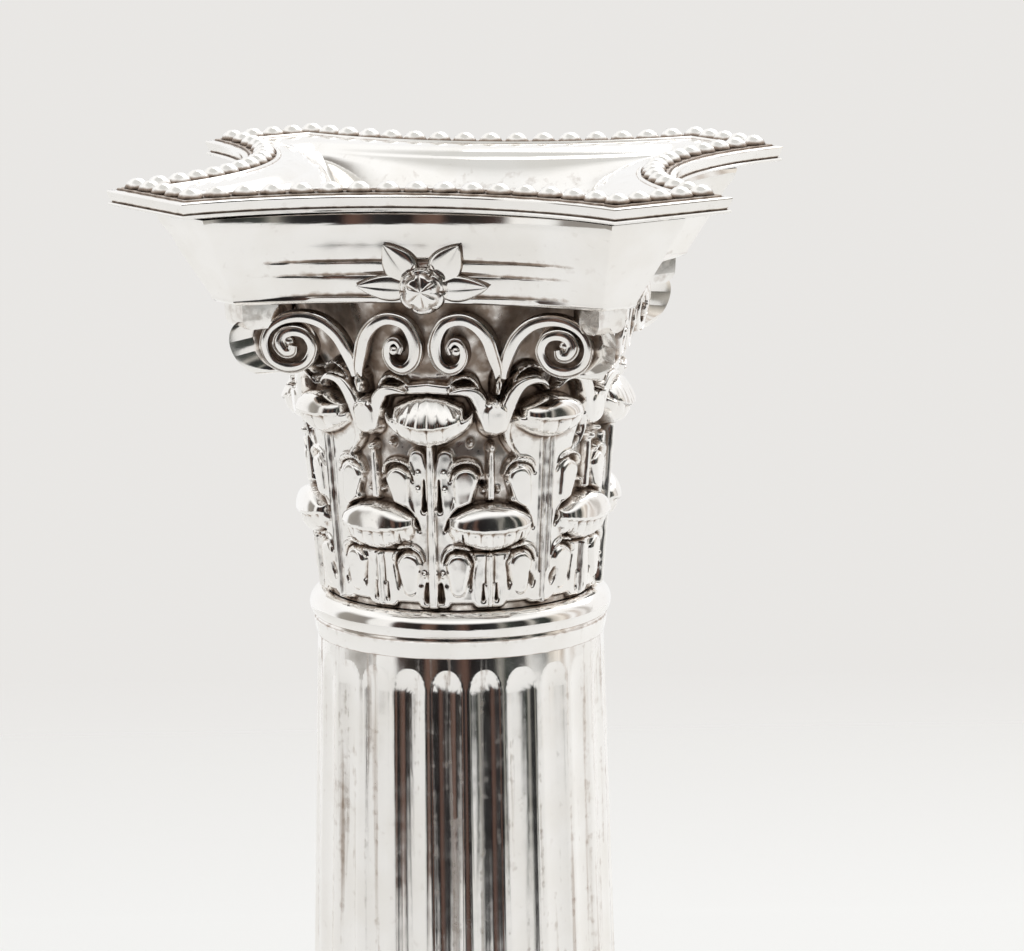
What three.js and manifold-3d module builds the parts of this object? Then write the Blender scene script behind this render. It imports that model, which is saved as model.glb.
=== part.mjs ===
// A loaded silver candlestick in the form of a Corinthian column: a stepped square foot, a fluted shaft,
// a leaf capital with volutes under a flared abacus, and a lift-out nozzle with a concave-sided drip pan.
// Millimetres, +Z up, origin at the centre of the resting face.
import * as THREE from "three";
import { mergeVertices } from "three/addons/utils/BufferGeometryUtils.js";
import Module from "manifold-3d";

const wasm = await Module();
wasm.setup();

// ---- Driving dimensions: the whole ----
const TOTAL_HEIGHT = 305;
const FOOT_HALF = 63.5; // half the width of the square foot
const SHEET = 0.9; // wall of the struck sheet silver
const SEAM = 0.15; // gap between neighbours that are soldered, poured or slid together
const LATHE_STEPS = 36; // facets round a turned piece
const SIDE_STEPS = 9; // points along one concave side of the pan and abacus

// ---- Foot and plinth, heights from the resting face ----
const BAIZE = 0.8;
const FOOT_BAND = 3.6; // height of the vertical edge of the foot
const FOOT_LIFT = 0.4; // the metal edge stands this far clear of the table
const BEAD_LEDGE = 3.6; // width of the flat that a bead border lies on
const FOOT_BEAD = 2.8;
const STEP_BEAD = 2.6;
const BOARD_THICKNESS = 4.6;
const COVE_RISE = 18.4; // height of the hollow sweep from the foot to the step
const STEP_HALF = 43.6; // half the width of the step above the sweep
const STEP_RISE = 5.8; // height of the round above the step's beads
const DIE_HALF = 31; // half the width of the plinth's upright block
const DIE_HEIGHT = 16;
const DIE_SHELF = 3.6; // how far the step's top runs out past the block
const PLINTH_CAP_OVERHANG = 3;
const PLINTH_CAP_RISE = 4.2;
const FILLET = 1.2; // the small square mouldings

// ---- Column ----
const LOWER_TORUS_SPREAD = 3.7; // how far the lower torus stands out past the upper
const UPPER_TORUS_SPREAD = 3.4; // how far the upper torus stands out past the shaft's foot
const LOWER_TORUS_HEIGHT = 7.6;
const SCOTIA_HEIGHT = 5;
const UPPER_TORUS_HEIGHT = 5;
const APOPHYGE_HEIGHT = 4.6; // the flare between the upper torus and the shaft
const SHAFT_FOOT_RADIUS = 20.4;
const SHAFT_NECK_RADIUS = 17;
const FLUTES = 24;
const FLUTE_DEPTH = 1;
const FLUTE_TURN = THREE.MathUtils.degToRad(4.75); // from the middle of a face to the nearest flute
const FLUTE_STOP = 1.3; // plain stretch above and below the flutes
const ENTASIS = 0.45; // how far the shaft swells from a straight taper

// ---- Capital, heights from the lower edge of the pan's rim downwards ----
const RING_BOTTOM = 53.8;
const RING_TOP = 48.3;
const RING_OVERHANG = 0.9; // from the shaft's neck out to the edge of the ring's round
const RING_ROUND = 1.9; // radius of the ring's round
const BELL_GAP = 1.4; // from the candle cup to the inside of the bell's waist
const BELL_FOOT_FLARE = 0.4;
const BELL_LIP_FLARE = 2.1;
const LOWER_LEAF_TIP = 36;
const UPPER_LEAF_TIP = 24;
const LEAF_BULGE = 1.7;
const ABACUS_BOTTOM = 11.8;
const ABACUS_TOP = 1.5;
const ABACUS_FOOT = { half: 24.2, corner: 3.1, sag: 4 };
const ABACUS_HEAD = { half: 31, corner: 7.8, sag: 9 };
const ABACUS_WALL = 1.2;
const VOLUTE_LEVEL = 17.8;
const VOLUTE_RADIUS = 3.4;
const VOLUTE_OFFSET = 16; // from the middle of a face to the eye of a corner volute
const VOLUTE_WIDTH = 4;
const HELIX_LEVEL = 17.4;
const HELIX_RADIUS = 2.7;
const HELIX_OFFSET = 3.3;
const HELIX_STAND = 2.8; // how far the helices stand out past the bell's lip
const FLOWER_LEVEL = 7.9;
const FLOWER_WIDTH = 15;
const FLOWER_HEIGHT = 8.3;
const FLOWER_RISE = 2.4;

// ---- Nozzle ----
const RIM = { half: 35.8, corner: 11.6, sag: 9.3 };
const RIM_RISE = 1.6; // from the rim's lower edge to the flat that carries its beads
const RIM_ROUND = 0.9; // how far the rim's edge draws in as it rises
const PAN_BEAD = 2.6;
const PAN_LEDGE = 3.4;
const WELL_CORNER = 1.4;
const WELL_HORN_GAP = 1; // from the well to the abacus's foot, at its horns
const WELL_SIDE_GAP = 2.2; // the same at the middle of its sides
const WELL_SLOPE = 0.5; // fall of the border between the beads and the well
const WELL_DEPTH = 5.2; // of the well's floor below the rim's lower edge
const PAN_SHEET = 0.8;
const CANDLE_BORE = 11.2; // radius of the hole for the candle
const SOCKET_LENGTH = 27;
const SOCKET_COLLAR = 2; // how far the collar stands out past the tube
const CUP_CLEARANCE = 0.3; // radial gap that lets the socket lift out

// ---- Tie rod ----
const ROD_RADIUS = 3;
const ROD_STEPS = 12;
const NUT_RADIUS = 5.6;
const NUT_THICKNESS = 3;
const WASHER_RADIUS = 8.4;
const WASHER_THICKNESS = 1;

// ---- Levels that follow from the dimensions ----
const rimLevel = TOTAL_HEIGHT - RIM_RISE - PAN_BEAD / 2;
const below = (drop) => rimLevel - drop;
const bandTop = FOOT_LIFT + FOOT_BAND;
const coveFoot = bandTop + FILLET;
const coveTop = coveFoot + COVE_RISE;
const stepLedge = coveTop + FILLET;
const stepTop = stepLedge + FILLET + STEP_RISE;
const dieTop = stepTop + DIE_HEIGHT;
const plinthTop = dieTop + PLINTH_CAP_RISE;
const lowerTorusTop = plinthTop + LOWER_TORUS_HEIGHT;
const scotiaTop = lowerTorusTop + SCOTIA_HEIGHT;
const upperTorusTop = scotiaTop + UPPER_TORUS_HEIGHT;
const shaftFoot = upperTorusTop + APOPHYGE_HEIGHT;
const boardBottom = BAIZE + SEAM;
const boardTop = boardBottom + BOARD_THICKNESS;
const nutRecess = NUT_THICKNESS + WASHER_THICKNESS;
const socketRadius = CANDLE_BORE + PAN_SHEET;
const cupBore = socketRadius + CUP_CLEARANCE;
const cupRadius = cupBore + SHEET;
const cupRim = WELL_DEPTH + 2 * PAN_SHEET + SEAM;

// ---- Widths that follow from the dimensions ----
const coveOuter = FOOT_HALF - FILLET / 2 - BEAD_LEDGE - FILLET;
const stepInner = STEP_HALF - BEAD_LEDGE - FILLET / 2;
const stepTopHalf = DIE_HALF + DIE_SHELF;
const plinthCapHalf = DIE_HALF + PLINTH_CAP_OVERHANG;
const upperTorusRadius = SHAFT_FOOT_RADIUS + UPPER_TORUS_SPREAD;
const lowerTorusRadius = upperTorusRadius + LOWER_TORUS_SPREAD;
const ringRadius = SHAFT_NECK_RADIUS + RING_OVERHANG - RING_ROUND;
const bellWaist = cupRadius + BELL_GAP + SHEET;
const bellFoot = bellWaist + BELL_FOOT_FLARE;
const bellLip = bellWaist + BELL_LIP_FLARE;
const helixFace = bellLip + HELIX_STAND;
const WELL = {
  half: ABACUS_FOOT.half - WELL_HORN_GAP,
  corner: WELL_CORNER,
  sag: ABACUS_FOOT.sag + WELL_SIDE_GAP - WELL_HORN_GAP,
};

// ---- Solids from outlines ----

/** A closed mesh with only positions, its shared vertices merged. */
function merged(geometry) {
  const bare = geometry.clone();
  bare.deleteAttribute("normal");
  bare.deleteAttribute("uv");
  return mergeVertices(bare, 1e-4);
}

/** A three.js geometry as a solid that can be joined and cut. */
function solid(geometry) {
  const closed = merged(geometry);
  return new wasm.Manifold(
    new wasm.Mesh({
      numProp: 3,
      vertProperties: new Float32Array(closed.attributes.position.array),
      triVerts: new Uint32Array(closed.index.array),
    }),
  );
}

/** A joined or cut solid back as a three.js geometry. */
function geometryOf(made) {
  const mesh = made.getMesh();
  const geometry = new THREE.BufferGeometry();
  geometry.setAttribute("position", new THREE.BufferAttribute(mesh.vertProperties, 3));
  geometry.setIndex(new THREE.BufferAttribute(mesh.triVerts, 1));
  geometry.computeVertexNormals();
  return geometry;
}

/** Geometries joined into one solid. */
function joined(...geometries) {
  return geometryOf(geometries.map(solid).reduce((whole, next) => whole.add(next)));
}

/** One geometry with others cut out of it. */
function cut(body, ...tools) {
  return geometryOf(tools.map(solid).reduce((left, tool) => left.subtract(tool), solid(body)));
}

/** A profile of [radius, height] pairs turned about the axis; it runs up on its outer side. */
function turned(profile, steps = LATHE_STEPS) {
  const points = profile.map(([radius, height]) => new THREE.Vector2(radius, height));
  return new THREE.LatheGeometry(points, steps).rotateX(Math.PI / 2);
}

/** A profile of [half-width, height] pairs carried round a square with mitred corners. */
function squared(profile) {
  const points = profile.map(([half, height]) => new THREE.Vector2(half * Math.SQRT2, height));
  return new THREE.LatheGeometry(points, 4, Math.PI / 4).rotateX(Math.PI / 2);
}

/** The same profile with its first point repeated at the end, so that it closes on itself. */
function loop(profile) {
  return [...profile, profile[0]];
}

/** Points along a round moulding from one angle to another, in degrees from outwards towards up. */
function round(centre, level, radius, from, to, steps = 6) {
  return Array.from({ length: steps + 1 }, (_, i) => {
    const angle = THREE.MathUtils.degToRad(from + ((to - from) * i) / steps);
    return [centre + radius * Math.cos(angle), level + radius * Math.sin(angle)];
  });
}

/** A solid cylinder on the axis between two levels. */
function post(radius, bottom, top, steps = LATHE_STEPS) {
  return turned([[0, bottom], [radius, bottom], [radius, top], [0, top]], steps);
}

/**
 * The outline of a square plan with four hollow sides and cut corners, drawn in by an inset.
 * half is from the axis to a horn's edge, corner is cut off each way, sag is how far a side curves in.
 */
function horned({ half, corner: cutOff, sag }, inset = 0) {
  const chord = half - cutOff;
  const arc = (chord * chord + sag * sag) / (2 * sag);
  const centre = half - sag + arc;
  const corner = centre - (half + chord - inset * Math.SQRT2);
  const reach = (Math.sqrt(2 * (arc + inset) ** 2 - corner ** 2) - corner) / 2;
  const sweep = Math.asin(reach / (arc + inset));
  const side = Array.from({ length: SIDE_STEPS }, (_, i) => {
    const angle = sweep * ((2 * i) / (SIDE_STEPS - 1) - 1);
    return new THREE.Vector2((arc + inset) * Math.sin(angle), (arc + inset) * Math.cos(angle) - centre);
  });
  const origin = new THREE.Vector2();
  return [0, 1, 2, 3].flatMap((quarter) =>
    side.map((point) => point.clone().rotateAround(origin, (quarter * Math.PI) / 2)),
  );
}

/** A plan part of the way between two others. */
function between(low, high, share) {
  const mix = (key) => low[key] + (high[key] - low[key]) * share;
  return { half: mix("half"), corner: mix("corner"), sag: mix("sag") };
}

/** A circle with as many points as an outline and at the same bearings. */
function circled(outline, radius) {
  return outline.map((point) => point.clone().setLength(radius));
}

/** An outline lifted to a level. */
function level(outline, height) {
  return outline.map((point) => new THREE.Vector3(point.x, point.y, height));
}

/** A surface through rings of equal count that closes on itself, running up on its outer side. */
function ringed(rings) {
  const count = rings[0].length;
  const positions = rings.flat().flatMap((point) => point.toArray());
  const index = [];
  rings.forEach((_, i) => {
    const row = i * count;
    const next = ((i + 1) % rings.length) * count;
    for (let j = 0; j < count; j++) {
      const k = (j + 1) % count;
      index.push(row + j, row + k, next + k, row + j, next + k, next + j);
    }
  });
  const geometry = new THREE.BufferGeometry();
  geometry.setAttribute("position", new THREE.Float32BufferAttribute(positions, 3));
  geometry.setIndex(index);
  return geometry;
}

/** A solid stacked up through rings of equal count, with a flat fan across each end. */
function stacked(rings) {
  const centre = (ring) => ring.map(() => new THREE.Vector3(0, 0, ring[0].z));
  return ringed([centre(rings[0]), ...rings, centre(rings[rings.length - 1])]);
}

/** A curved slab between an outer and an inner grid of points, rows upwards and columns anticlockwise. */
function slab(outer, inner) {
  const rows = outer.length;
  const columns = outer[0].length;
  const across = (row) => [...row, ...inner[outer.indexOf(row)].slice().reverse()];
  const rings = outer.map(across);
  const count = 2 * columns;
  const positions = rings.flat().flatMap((point) => point.toArray());
  const index = [];
  for (let i = 0; i < rows - 1; i++) {
    for (let j = 0; j < count; j++) {
      const k = (j + 1) % count;
      const row = i * count;
      const next = row + count;
      index.push(row + j, row + k, next + k, row + j, next + k, next + j);
    }
  }
  for (let j = 0; j < columns - 1; j++) {
    const far = count - 1 - j;
    const top = (rows - 1) * count;
    index.push(j, far, far - 1, j, far - 1, j + 1);
    index.push(top + j, top + j + 1, top + far - 1, top + j, top + far - 1, top + far);
  }
  const geometry = new THREE.BufferGeometry();
  geometry.setAttribute("position", new THREE.Float32BufferAttribute(positions, 3));
  geometry.setIndex(index);
  return geometry;
}

// ---- Finishes ----
const finish = (color, roughness, metalness) => () =>
  new THREE.MeshStandardMaterial({ color, roughness, metalness });
const silver = finish(0xd9d6d0, 0.12, 1);
const dullSilver = finish(0xa9a6a0, 0.35, 1);
const steel = finish(0x8f9296, 0.4, 1);
const pitch = finish(0x2f2a26, 0.85, 0);
const timber = finish(0x8a6a44, 0.7, 0);
const baize = finish(0x24452f, 0.95, 0);

const candlestick = new THREE.Group();

/** Adds one named piece to the candlestick, or to a group of its own. */
function add(name, geometry, material, parent = candlestick) {
  const mesh = new THREE.Mesh(geometry, material());
  mesh.name = name;
  parent.add(mesh);
  return mesh;
}

/** Calls a builder once for each face of the capital, in a group turned to that face. */
function onFourSides(names, build) {
  names.forEach((name, quarter) => {
    const side = new THREE.Group();
    side.rotation.z = (quarter * Math.PI) / 2;
    candlestick.add(side);
    build(name, side);
  });
}

// ---- Foot ----

function baizePad() {
  const half = FOOT_HALF - SHEET - SEAM - FILLET;
  return squared([[0, 0], [half, 0], [half, BAIZE], [0, BAIZE]]);
}

/** The hollow sweep from the foot's ledge up to the step, or the same line inside a wall. */
function cove(wall, steps = 8) {
  const bottom = coveFoot - wall;
  return Array.from({ length: steps + 1 }, (_, i) => {
    const angle = (Math.PI / 2) * (i / steps);
    const half = coveOuter - wall - (coveOuter - STEP_HALF) * Math.sin(angle);
    return [half, bottom + (coveTop - bottom) * (1 - Math.cos(angle))];
  });
}

/** Half the width of the sweep at a height, inside a wall. */
function coveHalf(height, wall) {
  const share = (height - coveFoot + wall) / (COVE_RISE + wall);
  return coveOuter - wall - (coveOuter - STEP_HALF) * Math.sin(Math.acos(1 - share));
}

const boardHalf = coveHalf(boardTop, SHEET + 2 * SEAM);

function baseBoard() {
  const outline = [[0, boardBottom], [boardHalf, boardBottom], [boardHalf, boardTop], [0, boardTop]];
  const recess = post(WASHER_RADIUS + SEAM, boardBottom - SEAM, boardBottom + nutRecess);
  return cut(squared(outline), recess, post(ROD_RADIUS + SEAM, 0, boardTop + SEAM, ROD_STEPS));
}

function footShell() {
  const outside = [
    [FOOT_HALF, FOOT_LIFT],
    [FOOT_HALF, bandTop - FILLET / 2],
    [FOOT_HALF - FILLET / 2, bandTop],
    [coveOuter + FILLET, bandTop],
    [coveOuter + FILLET, coveFoot],
    ...cove(0),
    [STEP_HALF, stepLedge],
    [stepInner, stepLedge],
    [stepInner, stepLedge + FILLET],
    [stepTopHalf, stepTop],
    [DIE_HALF, stepTop],
  ];
  const inside = [
    [DIE_HALF, stepTop - SHEET],
    [stepTopHalf - SHEET, stepTop - SHEET],
    [stepInner - SHEET, stepLedge - SHEET],
    [STEP_HALF - SHEET, stepLedge - SHEET],
    ...cove(SHEET).reverse(),
    [FOOT_HALF - SHEET, bandTop - SHEET],
    [FOOT_HALF - SHEET, FOOT_LIFT],
  ];
  return squared(loop([...outside, ...inside]));
}

/** A square border of beads, as the plain wire that they lie along. */
function beadWire(half, bottom, diameter) {
  const radius = diameter / 2;
  return squared(loop(round(half, bottom + radius, radius, -90, 225, 7)));
}

function plinthShell() {
  const capFoot = dieTop + PLINTH_CAP_RISE - 2 * FILLET;
  const outside = [
    [DIE_HALF + 2 * FILLET, stepTop],
    [DIE_HALF, stepTop + 2 * FILLET],
    [DIE_HALF, dieTop],
    [plinthCapHalf, capFoot],
    [plinthCapHalf, plinthTop],
    [SHAFT_FOOT_RADIUS, plinthTop],
  ];
  const inside = [
    [SHAFT_FOOT_RADIUS, plinthTop - SHEET],
    [DIE_HALF - SHEET, plinthTop - SHEET],
    [DIE_HALF - SHEET, stepTop],
  ];
  return squared(loop([...outside, ...inside]));
}

function footLoading() {
  const gap = SHEET + 2 * SEAM;
  const fill = squared([
    [0, boardTop],
    [boardHalf, boardTop],
    ...cove(gap).filter(([, height]) => height > boardTop),
    [stepTopHalf - gap, coveTop],
    [DIE_HALF - gap - FILLET, stepTop - gap],
    [DIE_HALF - gap, stepTop],
    [DIE_HALF - gap, plinthTop - gap],
    [0, plinthTop - gap],
  ]);
  return cut(fill, post(ROD_RADIUS + SEAM, 0, plinthTop, ROD_STEPS));
}

// ---- Column ----

/** The shaft's radius over the arrises, with its swelling, at a share of its height. */
function shaftRadius(share) {
  const taper = SHAFT_FOOT_RADIUS + (SHAFT_NECK_RADIUS - SHAFT_FOOT_RADIUS) * share;
  return taper + ENTASIS * Math.sin(Math.PI * share);
}

function columnBase() {
  const torus = (radius, bottom, height) => {
    const bulge = height / 2;
    return round(radius - bulge, bottom + bulge, bulge, -90, 90);
  };
  const wall = SHAFT_FOOT_RADIUS - SHEET;
  const scotiaRadius = upperTorusRadius - SCOTIA_HEIGHT / 2;
  return turned(
    loop([
      [wall, plinthTop],
      ...torus(lowerTorusRadius, plinthTop, LOWER_TORUS_HEIGHT),
      [upperTorusRadius, lowerTorusTop],
      [scotiaRadius, (lowerTorusTop + scotiaTop) / 2],
      ...torus(upperTorusRadius, scotiaTop, UPPER_TORUS_HEIGHT),
      [SHAFT_FOOT_RADIUS + FILLET, upperTorusTop],
      [SHAFT_FOOT_RADIUS + FILLET / 4, shaftFoot - FILLET],
      [SHAFT_FOOT_RADIUS, shaftFoot],
      [wall, shaftFoot],
    ]),
  );
}

/** One ring of the shaft with its flutes cut to a depth. */
function flutedRing(radius, depth, height) {
  const perFlute = 4;
  return Array.from({ length: FLUTES * perFlute }, (_, i) => {
    const angle = FLUTE_TURN + (2 * Math.PI * (i + perFlute / 2)) / (FLUTES * perFlute);
    const reach = radius - depth * Math.sin((Math.PI * (i % perFlute)) / perFlute);
    return new THREE.Vector3(reach * Math.sin(angle), -reach * Math.cos(angle), height);
  });
}

function columnShaft() {
  const top = below(RING_BOTTOM);
  const height = top - shaftFoot;
  const shares = [0, FLUTE_STOP, 3 * FLUTE_STOP, height / 3, (2 * height) / 3, height - 3 * FLUTE_STOP];
  const heights = [...shares, height - FLUTE_STOP, height];
  const outside = heights.map((rise) => {
    const plain = rise <= FLUTE_STOP || rise >= height - FLUTE_STOP;
    return flutedRing(shaftRadius(rise / height), plain ? 0 : FLUTE_DEPTH, shaftFoot + rise);
  });
  const inside = [height, 0].map((rise) =>
    flutedRing(shaftRadius(rise / height) - FLUTE_DEPTH - SHEET, 0, shaftFoot + rise),
  );
  return ringed([...outside, ...inside]);
}

function shaftLoading() {
  const gap = FLUTE_DEPTH + SHEET + 3 * SEAM;
  const top = below(RING_BOTTOM);
  const fill = turned([
    [0, plinthTop],
    [SHAFT_FOOT_RADIUS - gap, plinthTop],
    [SHAFT_FOOT_RADIUS - gap, shaftFoot],
    [SHAFT_NECK_RADIUS - gap, top],
    [0, top],
  ]);
  return cut(fill, post(ROD_RADIUS + SEAM, plinthTop - SEAM, top + SEAM, ROD_STEPS));
}

function neckRing() {
  const foot = below(RING_BOTTOM);
  const head = below(RING_TOP);
  const middle = head - RING_ROUND;
  const inner = SHAFT_NECK_RADIUS - FLUTE_DEPTH - SHEET;
  return turned(
    loop([
      [inner, foot],
      [SHAFT_NECK_RADIUS, foot],
      [SHAFT_NECK_RADIUS + FILLET / 4, foot + FILLET / 2],
      [SHAFT_NECK_RADIUS, middle - RING_ROUND],
      ...round(ringRadius, middle, RING_ROUND, -60, 120),
      [ROD_RADIUS + SEAM, head],
      [ROD_RADIUS + SEAM, head - SHEET],
      [inner, head - SHEET],
    ]),
  );
}

// ---- Tie rod ----

const rodTop = RING_TOP - SHEET - NUT_THICKNESS - FILLET;

function tieRod() {
  return post(ROD_RADIUS, boardBottom + FILLET / 2, below(rodTop), ROD_STEPS);
}

/** A washer or nut round the rod. */
function threaded(radius, bottom, thickness, steps) {
  const hole = ROD_RADIUS + SEAM;
  const top = bottom + thickness;
  const blank = post(radius, bottom, top, steps);
  return cut(blank, post(hole, bottom - SEAM, top + SEAM, ROD_STEPS));
}

// ---- Capital ----

/** Radius of the plain bell at a share of its height. */
function bellRadius(share) {
  const waist = bellFoot - BELL_FOOT_FLARE * Math.min(1, 2 * share);
  return waist + BELL_LIP_FLARE * Math.max(0, 2 * share - 1) ** 2;
}

/** How far the two tiers of leaves stand off the bell, at an angle from the middle of a face. */
function leafRelief(angle, drop) {
  const tier = (centre, tip) => {
    const pitch = Math.PI / 4;
    const offset = Math.abs(((((angle - centre) % pitch) + 1.5 * pitch) % pitch) - pitch / 2);
    const across = Math.max(0, Math.cos((2 * Math.PI * offset) / pitch) * 0.5 + 0.5);
    const rise = (RING_TOP - drop) / (RING_TOP - tip);
    return rise > 1 ? 0 : across * (0.4 + 0.6 * rise);
  };
  return LEAF_BULGE * Math.max(tier(0, UPPER_LEAF_TIP), tier(Math.PI / 8, LOWER_LEAF_TIP));
}

function bellPanel() {
  const columns = 12;
  const rows = 9;
  const half = Math.PI / 4 - SEAM / bellFoot;
  const spot = (radius, angle, height) =>
    new THREE.Vector3(radius * Math.sin(angle), -radius * Math.cos(angle), height);
  const grid = (reach) =>
    Array.from({ length: rows + 1 }, (_, i) => {
      const share = i / rows;
      const drop = RING_TOP - (RING_TOP - ABACUS_BOTTOM) * share;
      return Array.from({ length: columns + 1 }, (__, j) => {
        const angle = half * ((2 * j) / columns - 1);
        return spot(reach(share, angle, drop), angle, below(drop));
      });
    });
  return slab(
    grid((share, angle, drop) => bellRadius(share) + leafRelief(angle, drop)),
    grid((share) => bellRadius(share) - SHEET),
  );
}

function candleCup() {
  const foot = below(RING_TOP);
  return turned(
    loop([
      [ROD_RADIUS + SEAM, foot],
      [cupRadius, foot],
      [cupRadius, below(cupRim)],
      [cupBore, below(cupRim)],
      [cupBore, foot + SHEET],
      [ROD_RADIUS + SEAM, foot + SHEET],
    ]),
  );
}

const abacusHeight = ABACUS_BOTTOM - ABACUS_TOP;

/** The abacus's outline at a rise above its foot, drawn in by an inset. */
function abacusRing(rise, inset) {
  const plan = between(ABACUS_FOOT, ABACUS_HEAD, rise / abacusHeight);
  return level(horned(plan, inset), below(ABACUS_BOTTOM) + rise);
}

/** The mouldings up the outside of the abacus: a bead, a hollow fascia, a fillet and a flared band. */
function abacusMouldings() {
  return [
    abacusRing(0, FILLET / 4),
    abacusRing(FILLET, 0),
    abacusRing(1.5 * FILLET, FILLET / 2),
    abacusRing(3 * FILLET, FILLET / 2),
    abacusRing(3.5 * FILLET, 0),
    abacusRing(4 * FILLET, 0),
    abacusRing(5 * FILLET, FILLET / 2),
    abacusRing(7 * FILLET, FILLET / 4),
    abacusRing(abacusHeight, 0),
  ];
}

function abacus() {
  const neck = circled(horned(ABACUS_FOOT), cupRadius + SEAM);
  return ringed([
    ...abacusMouldings(),
    abacusRing(abacusHeight, ABACUS_WALL),
    abacusRing(ABACUS_WALL, ABACUS_WALL + FILLET / 2),
    level(neck, below(ABACUS_BOTTOM) + ABACUS_WALL),
    level(neck, below(ABACUS_BOTTOM)),
  ]);
}

/** Distance from the axis to the middle of the abacus's side at a drop below the rim. */
function abacusFace(drop) {
  const share = (ABACUS_BOTTOM - drop) / (ABACUS_BOTTOM - ABACUS_TOP);
  const plan = between(ABACUS_FOOT, ABACUS_HEAD, share);
  return plan.half - plan.sag;
}

/** Four petals and a round boss, cut to seat on the abacus's side. */
function abacusFlower() {
  const face = abacusFace(FLOWER_LEVEL);
  const petal = (side, rise, width, height) => {
    const leaf = new THREE.SphereGeometry(1, 6, 4).scale(width, FLOWER_RISE / 2, height);
    return leaf.translate(side, -face - FLOWER_RISE / 4, below(FLOWER_LEVEL) + rise);
  };
  const across = FLOWER_WIDTH / 4;
  const up = FLOWER_HEIGHT / 4;
  const whole = joined(
    petal(-across / 2, up, across / 1.7, up * 1.3),
    petal(across / 2, up, across / 1.7, up * 1.3),
    petal(-across, -up / 2, across, up),
    petal(across, -up / 2, across, up),
    new THREE.SphereGeometry(FLOWER_RISE, 8, 6).translate(0, -face, below(FLOWER_LEVEL) - up),
  );
  return cut(whole, stacked(abacusMouldings()), bellCore());
}

/** A disc that faces outwards from the side, standing for a scroll. */
function scroll(radius, width, side, face, drop) {
  const disc = new THREE.CylinderGeometry(radius, radius, width, 20);
  return disc.translate(side, -face + width / 2, below(drop));
}

/** The bell and all that stands behind the capital's scrolls, as a cutter. */
function bellCore() {
  const foot = below(RING_TOP);
  const head = below(ABACUS_BOTTOM);
  const shares = [0, 0.5, 0.75, 1];
  const wall = shares.map((share) => [bellRadius(share) + SEAM, foot + (head - foot) * share]);
  return turned([[0, foot], ...wall, [0, head]]);
}

function helixPair() {
  const depth = helixFace - bellWaist + HELIX_RADIUS;
  const stem = new THREE.BoxGeometry(2 * HELIX_OFFSET + HELIX_RADIUS, depth, HELIX_RADIUS);
  stem.translate(0, -helixFace + depth / 2, below(HELIX_LEVEL + 0.7 * HELIX_RADIUS));
  const pair = joined(
    scroll(HELIX_RADIUS, depth, -HELIX_OFFSET, helixFace, HELIX_LEVEL),
    scroll(HELIX_RADIUS, depth, HELIX_OFFSET, helixFace, HELIX_LEVEL),
    stem,
  );
  return cut(pair, bellCore());
}

function cornerVolute() {
  const outer = VOLUTE_OFFSET + VOLUTE_WIDTH / 2;
  const front = scroll(VOLUTE_RADIUS, VOLUTE_WIDTH, VOLUTE_OFFSET, outer, VOLUTE_LEVEL);
  const right = scroll(VOLUTE_RADIUS, VOLUTE_WIDTH, -VOLUTE_OFFSET, outer, VOLUTE_LEVEL).rotateZ(Math.PI / 2);
  const eye = VOLUTE_OFFSET * Math.SQRT2;
  const stalk = new THREE.BoxGeometry(VOLUTE_WIDTH, 2 * (eye - bellWaist), 2 * VOLUTE_RADIUS);
  stalk.translate(0, -eye, below(VOLUTE_LEVEL)).rotateZ(Math.PI / 4);
  return cut(joined(front, right, stalk), bellCore());
}

// ---- Nozzle ----

const nozzle = new THREE.Group();
candlestick.add(nozzle);

function nozzlePan() {
  const ledgeInner = RIM_ROUND + PAN_LEDGE;
  const at = (plan, inset, rise) => level(horned(plan, inset), rimLevel + rise);
  const hole = circled(horned(WELL), CANDLE_BORE);
  const wellTop = RIM_RISE - WELL_SLOPE;
  const floor = -WELL_DEPTH;
  return ringed([
    at(RIM, 0, 0),
    at(RIM, RIM_ROUND / 4, RIM_RISE / 2),
    at(RIM, RIM_ROUND, RIM_RISE),
    at(RIM, ledgeInner, RIM_RISE),
    at(WELL, 0, wellTop),
    at(WELL, PAN_SHEET, floor),
    level(hole, rimLevel + floor),
    level(hole, rimLevel + floor - PAN_SHEET),
    at(WELL, 0, floor - PAN_SHEET),
    at(WELL, -PAN_SHEET, wellTop - PAN_SHEET),
    at(RIM, ledgeInner, RIM_RISE - PAN_SHEET),
    at(RIM, RIM_ROUND + PAN_SHEET, RIM_RISE - PAN_SHEET),
    at(RIM, PAN_SHEET, 0),
  ]);
}

/** The pan's border of beads, as the plain wire that they lie along. */
function nozzleBeadWire() {
  const radius = PAN_BEAD / 2;
  const middle = RIM_ROUND + PAN_LEDGE / 2;
  const dome = round(0, 0, radius, 0, 180, 4);
  return ringed(dome.map(([out, rise]) => level(horned(RIM, middle - out), rimLevel + RIM_RISE + rise)));
}

function nozzleSocket() {
  const head = below(WELL_DEPTH + PAN_SHEET);
  const foot = head - SOCKET_LENGTH;
  const collar = socketRadius + SOCKET_COLLAR;
  return turned([
    [0, foot],
    [socketRadius, foot],
    [socketRadius, head - PAN_SHEET],
    [collar, head - PAN_SHEET],
    [collar, head],
    [CANDLE_BORE, head],
    [CANDLE_BORE, foot + PAN_SHEET],
    [0, foot + PAN_SHEET],
  ]);
}

// ---- Assembly ----
const sides = ["front", "right", "back", "left"];
const corners = ["front_right", "back_right", "back_left", "front_left"];

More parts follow.
